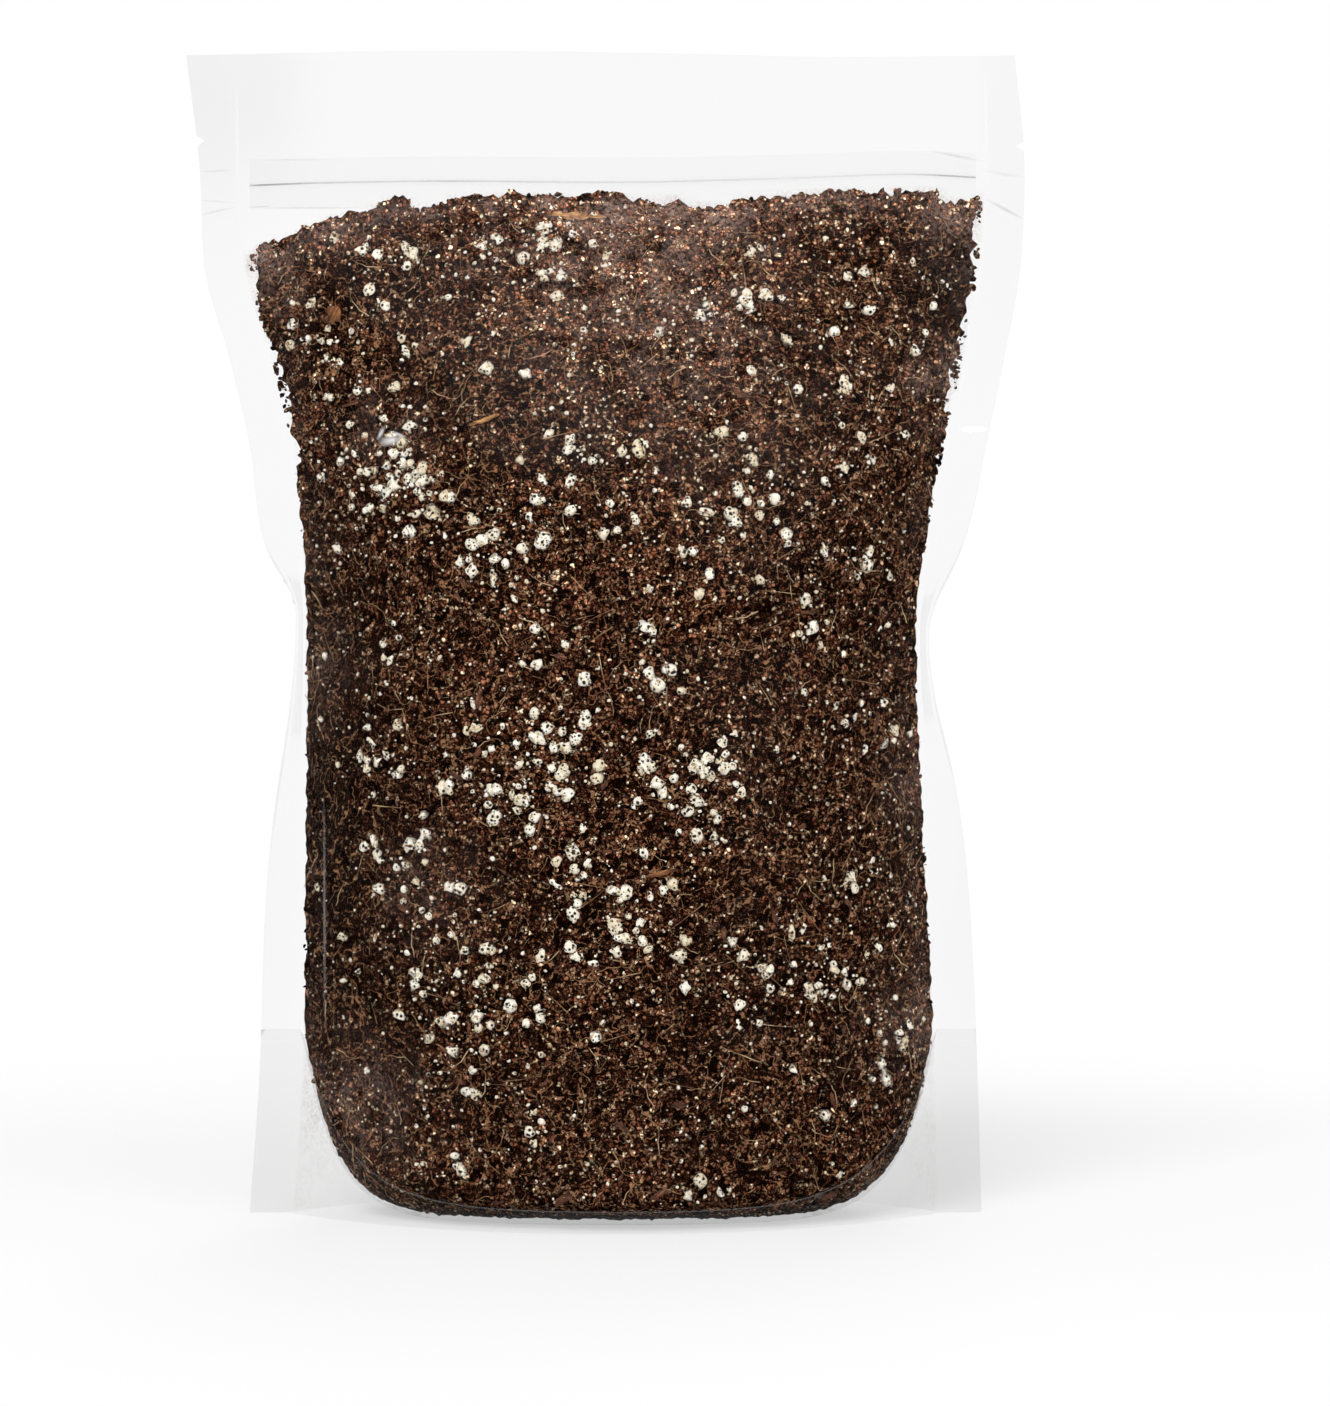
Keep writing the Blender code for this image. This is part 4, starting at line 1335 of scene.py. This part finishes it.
# How thickly the grains lie along the film: sizes of the noise, reaches and depths in metres
crowdLook = {
    "baseSize": 0.014,
    "tuftSize": 0.0055,
    "clumpSize": 0.010,
    "edgeReach": 0.004,
    "ridgeReach": 0.004,
    "ridgeGain": 1.5,
    "ridgeFloor": 0.55,
    "heapGain": 1.7,
    "speckGain": 0.6,
    "roomy": (0.0018, 0.0040),          # depths of fill between which large, small and any grains find room
    "snug": (0.0006, 0.0012),
    "thin": (0.0004, 0.0010),
    "clearOfBase": 0.004,
}


def makeGround():
    # The inner face of the film where it touches the fill, with how thickly each sort lies
    points, faces = fillGrid(**groundGrid)
    mesh = meshFrom("ground", points, faces)
    weld(mesh, weldDistance)
    places = placesOf(mesh)
    deep = np.abs(places[:, 1])
    crowd = np.zeros(len(places))
    for facing in (-1, 1):
        own = softSpots(places, perliteHeaps[facing] + looseClusters[facing])
        crowd = np.where(places[:, 1] * facing > 0.0, own, crowd)
    look = crowdLook
    base = np.clip(0.45 + 1.1 * noiseAt(places, look["baseSize"], 2.0), 0.12, 1.2)
    roomy = blendBetween(deep, *look["roomy"])
    tufts = np.clip(0.45 + 2.2 * noiseAt(places, look["tuftSize"], 7.0), 0.05, 1.3)
    looseness = 0.35 + 0.65 * (places[:, 2] > compostMass["looseAbove"])
    edge = np.minimum(looseness * np.exp(-(insideSeams(places) / look["edgeReach"]) ** 2), 1.5) * tufts
    below = (topOfFill(places[:, 0]) - places[:, 2]) / look["ridgeReach"]
    ridge = look["ridgeGain"] * np.exp(-below ** 2) * np.maximum(tufts, look["ridgeFloor"])
    crowding = {
        "large": (0.38 * base + look["heapGain"] * crowd) * roomy,
        "small": (base + look["speckGain"] * crowd) * blendBetween(deep, *look["snug"]),
        "even": blendBetween(deep, *look["thin"]),
        "clumps": np.clip(0.55 + 1.4 * noiseAt(places, look["clumpSize"], 6.0), 0.1, 1.6) * roomy,
        "edge": edge + ridge,
    }
    for label, values in crowding.items():
        setAttribute(mesh, label, values * (places[:, 2] > look["clearOfBase"]))
    mesh.update()
    return mesh


# Unit shapes: the maker, then for each shape what the maker takes after its name
grainShapes = {
    "crumbShapes": (roundedGrain, {
        "crumb" + str(k): (1, (1.0, 0.8, 0.7), 0.7, 0.5, 3.0 + k) for k in range(4)}),
    "clodShapes": (roundedGrain, {
        "clod" + str(k): (2, (1.0, 0.85, 0.7), 0.6, 0.6, 9.0 + k) for k in range(4)}),
    "perliteShapes": (roundedGrain, {
        "perliteRound": (2, (1.0, 0.92, 0.85), 0.25, 0.18, 21.0),
        "perliteOval": (2, (1.12, 0.78, 0.74), 0.30, 0.20, 25.0),
        "perliteLobed": (2, (1.25, 0.72, 0.70), 0.60, 0.20, 31.0),
        "perliteBroken": (2, (1.0, 0.80, 0.68), 0.50, 0.38, 37.0)}),
    "speckShapes": (roundedGrain, {
        "speck" + str(k): (1, (1.0, 0.85, 0.75), 0.4, 0.3, 41.0 + k) for k in range(3)}),
    "barkShapes": (splinter, {
        "barkWide": (0.36, 0.14, 0.20, 1.0), "barkLong": (0.16, 0.10, -0.15, 5.0),
        "barkFlake": (0.26, 0.10, 0.10, 9.0), "barkSplinter": (0.10, 0.08, 0.25, 13.0)}),
    "rootShapes": (rootlet, {
        "rootBow": (1.1, 0.8, 0.026, 1.0), "rootHook": (2.2, 1.2, 0.025, 4.0),
        "rootStraight": (0.2, 0.6, 0.024, 7.0), "rootBent": (-0.7, 1.4, 0.026, 11.0),
        "rootStiff": (0.0, 0.3, 0.028, 15.0)}),
}
groundGrid = {
    "columnCount": 96, "baseRows": 12, "foldRows": 14, "sideRows": 120, "inset": 0.00045, "edgeInset": 0.0008}
# Sizes are across one grain in metres; counts are to the square metre of film
grainSorts = {
    "compostClods": {
        "Shapes": "clodShapes", "Finish": "compost",
        "Crowding": "clumps", "Per Square Metre": 18000.0, "Seed": 11, "Smallest": 0.0016, "Largest": 0.0040,
        "Bias": 1.8, "Shallow": 0.50, "Deep": 0.85, "Tilt": 3.1416},
    "compostCrumbs": {
        "Shapes": "crumbShapes", "Finish": "compost",
        "Crowding": "even", "Per Square Metre": 95000.0, "Seed": 12, "Smallest": 0.0007, "Largest": 0.0020,
        "Bias": 1.5, "Shallow": 0.50, "Deep": 1.50, "Tilt": 3.1416},
    "edgeCrumbs": {
        "Shapes": "crumbShapes", "Finish": "compost",
        "Crowding": "edge", "Per Square Metre": 460000.0, "Seed": 13, "Smallest": 0.0006, "Largest": 0.0022,
        "Bias": 1.9, "Shallow": -0.30, "Deep": 0.60, "Tilt": 3.1416},
    "perliteGrains": {
        "Shapes": "perliteShapes", "Finish": "perlite",
        "Crowding": "large", "Per Square Metre": 15000.0, "Seed": 14, "Smallest": 0.0018, "Largest": 0.0052,
        "Bias": 1.35, "Shallow": 0.36, "Deep": 0.50, "Tilt": 3.1416},
    "perliteSpecks": {
        "Shapes": "speckShapes", "Finish": "perlite",
        "Crowding": "small", "Per Square Metre": 66000.0, "Seed": 15, "Smallest": 0.0005, "Largest": 0.0016,
        "Bias": 1.7, "Shallow": 0.40, "Deep": 0.70, "Tilt": 3.1416},
    "barkChips": {
        "Shapes": "barkShapes", "Finish": "bark",
        "Crowding": "clumps", "Per Square Metre": 10000.0, "Seed": 16, "Smallest": 0.0016, "Largest": 0.0060,
        "Bias": 2.4, "Shallow": 0.04, "Deep": 0.24, "Tilt": 0.45},
    "rootFibres": {
        "Shapes": "rootShapes", "Finish": "root",
        "Crowding": "even", "Per Square Metre": 17000.0, "Seed": 17, "Smallest": 0.0028, "Largest": 0.0125,
        "Bias": 2.2, "Shallow": -0.02, "Deep": 0.02, "Tilt": 0.12},
}


def makeGrains(ground, tree, finishes):
    groups = {}
    for label, (maker, forms) in grainShapes.items():
        groups[label] = shapeSet(label, [maker(name, *form) for name, form in forms.items()])
    for name, sort in grainSorts.items():
        values = dict(sort)
        values["Shapes"] = groups[values["Shapes"]]
        values["Finish"] = finishes[values["Finish"]]
        finishPiece(scatter(name, tree, ground, values), "compost_mix")


def makePouch():
    clear = makeFilmMaterial("clearLaminateFilm")
    creaseShadeAndGlintFilm = makeFilmMaterial("creaseShadeAndGlintLaminateFilm", shades=edgeCreaseShades, paintedGlints=edgeGlints)
    withDustAndSheen = makeFilmMaterial("dustAndSheenLaminateFilm", withDustAndSheen=True)
    dustAndPaintedLightFilm = makeFilmMaterial("dustAndPaintedLightLaminateFilm", withDustAndSheen=True, shades=faceCreaseShades, paintedGlints=faceGlints)
    gussetFilm = makeFilmMaterial("clearGussetFilm")
    stripFilm = makeFilmMaterial("clearZipPolyethylene", paintedZipShade=True)
    inner = makeInnerMaterial("clearFilmInside")
    front = finishPiece(makePanel("frontFilm", -1, dustAndPaintedLightFilm, creaseShadeAndGlintFilm, inner), "clear_film", "front_panel")
    back = finishPiece(makePanel("backFilm", 1, withDustAndSheen, clear, inner), "clear_film", "back_panel")
    gusset = finishPiece(makeGusset("gussetFilm", gussetFilm, inner), "clear_film", "bottom_gusset")
    for (name, outline), node in zip(zipOutlines().items(), ("zip_groove_track", "zip_rib_track")):
        finishPiece(makeZipStrip(name, outline, stripFilm), "zip_track", node)


def makeFill():
    finishes = {
        "compost": makeCompostMaterial("peatCompostCrumbs", True),
        "perlite": makePerliteMaterial("expandedPerlite"),
        "bark": makeWoodMaterial("shreddedBark", woodLook["bark"]),
        "root": makeWoodMaterial("driedRootlets", woodLook["root"]),
    }
    mass = makeCompostMass("compostMass", makeCompostMaterial("peatCompost", False))
    finishPiece(mass, "compost_mix", "compost_fill")
    finishPiece(makeFlakes("woodFlakes", makeWoodMaterial("splitWood", woodLook["wood"])), "compost_mix")
    makeGrains(makeGround(), makeScatterTree(), finishes)


# Studio
studio = {
    "pixel": 0.2552e-3,     # metres at the pouch to a pixel of the 1330 by 1406 picture
    "frameHeight": 1406,
    "frameCentre": (0.0149, 0.1307),
    "distance": 1.50,
    "elevation": math.radians(3.0),
    "sensor": 36.0,
    "ambient": 0.42,
    "floorRadius": 1.2,
    "floorColour": "#F4F4F4",
    "floorClear": 0.55,     # share of the floor's white that no shadow can take
    "shadowFade": (0.12, 0.42),         # metres out over which the shadow fades away
    # Place, size and power
    "lamps": {
        "keyLamp": ((-0.55, -1.35, 1.35), 1.1, 26.0),
        "fillLamp": ((1.10, -1.25, 0.55), 1.3, 10.0),
        "backLamp": ((0.30, 1.60, 1.20), 1.2, 10.0),
    },
    "lampAim": (0.0, 0.0, 0.14),
}


def makeCamera():
    lens = bpy.data.cameras.new("camera")
    camera = bpy.data.objects.new("camera", lens)
    bpy.context.scene.collection.objects.link(camera)
    x, height = studio["frameCentre"]
    tilt = studio["elevation"]
    away = Vector((0.0, -math.cos(tilt), math.sin(tilt))) * studio["distance"]
    camera.location = Vector((x, 0.0, height)) + away
    camera.rotation_euler = (math.pi / 2 - tilt, 0.0, 0.0)
    lens.sensor_width = studio["sensor"]
    lens.lens = studio["sensor"] * studio["distance"] / (studio["frameHeight"] * studio["pixel"])
    bpy.context.scene.camera = camera


def seenDirectly(tree):
    # Camera, mirror and glass rays see the plain white surroundings
    path = addNode(tree, "ShaderNodeLightPath").outputs
    seen = mathNode(tree, "MAXIMUM", path["Is Camera Ray"], path["Is Glossy Ray"])
    return mathNode(tree, "MAXIMUM", seen, path["Is Transmission Ray"])


def makeFloor():
    built = bmesh.new()
    bmesh.ops.create_circle(built, cap_ends=True, segments=96, radius=studio["floorRadius"])
    mesh = meshOf(built, "floor")
    material, tree = newMaterial("paleTable")
    away = addNode(tree, "ShaderNodeVectorMath", {0: placeOf(tree)}, operation="LENGTH").outputs["Value"]
    near, far = studio["shadowFade"]
    fading = addNode(tree, "ShaderNodeMapRange", {
        "Value": away, "From Min": near, "From Max": far, "To Min": studio["floorClear"], "To Max": 1.0})
    fading.interpolation_type = "SMOOTHSTEP"
    white = addNode(tree, "ShaderNodeEmission", {"Color": (1.0, 1.0, 1.0, 1.0), "Strength": 1.0}).outputs[0]
    share = multiply(tree, fading.outputs[0], seenDirectly(tree))
    surface = mixShaders(tree, share, mattShader(tree, studio["floorColour"]), white)
    addPiece("floor", mesh, closeMaterial(material, surface))


def makeLamp(name, place, size, power):
    light = bpy.data.lights.new(name, "AREA")
    light.shape = "DISK"
    light.size = size
    light.energy = power
    lamp = bpy.data.objects.new(name, light)
    bpy.context.scene.collection.objects.link(lamp)
    lamp.location = place
    lamp.rotation_euler = (Vector(studio["lampAim"]) - Vector(place)).to_track_quat("-Z", "Y").to_euler()


def makeStudio():
    makeCamera()
    makeFloor()
    for name, lamp in studio["lamps"].items():
        makeLamp(name, *lamp)
    scene = bpy.context.scene
    world = bpy.data.worlds.new("studio")
    scene.world = world
    world.use_nodes = True
    tree = world.node_tree
    tree.nodes.clear()
    level = rangeOf(tree, seenDirectly(tree), 0.0, 1.0, studio["ambient"], 1.0)
    light = addNode(tree, "ShaderNodeBackground", {"Color": (1.0, 1.0, 1.0, 1.0), "Strength": level})
    addNode(tree, "ShaderNodeOutputWorld", {"Surface": light.outputs[0]})
    scene.view_settings.view_transform = "Standard"
    scene.cycles.transparent_max_bounces = 32       # the zip stacks up to sixteen faces of film
    scene.cycles.diffuse_bounces = 1
    scene.cycles.glossy_bounces = 1


makeStudio()
print("studio is set")
makePouch()
print("pouch is made")
makeFill()
print("fill is made")
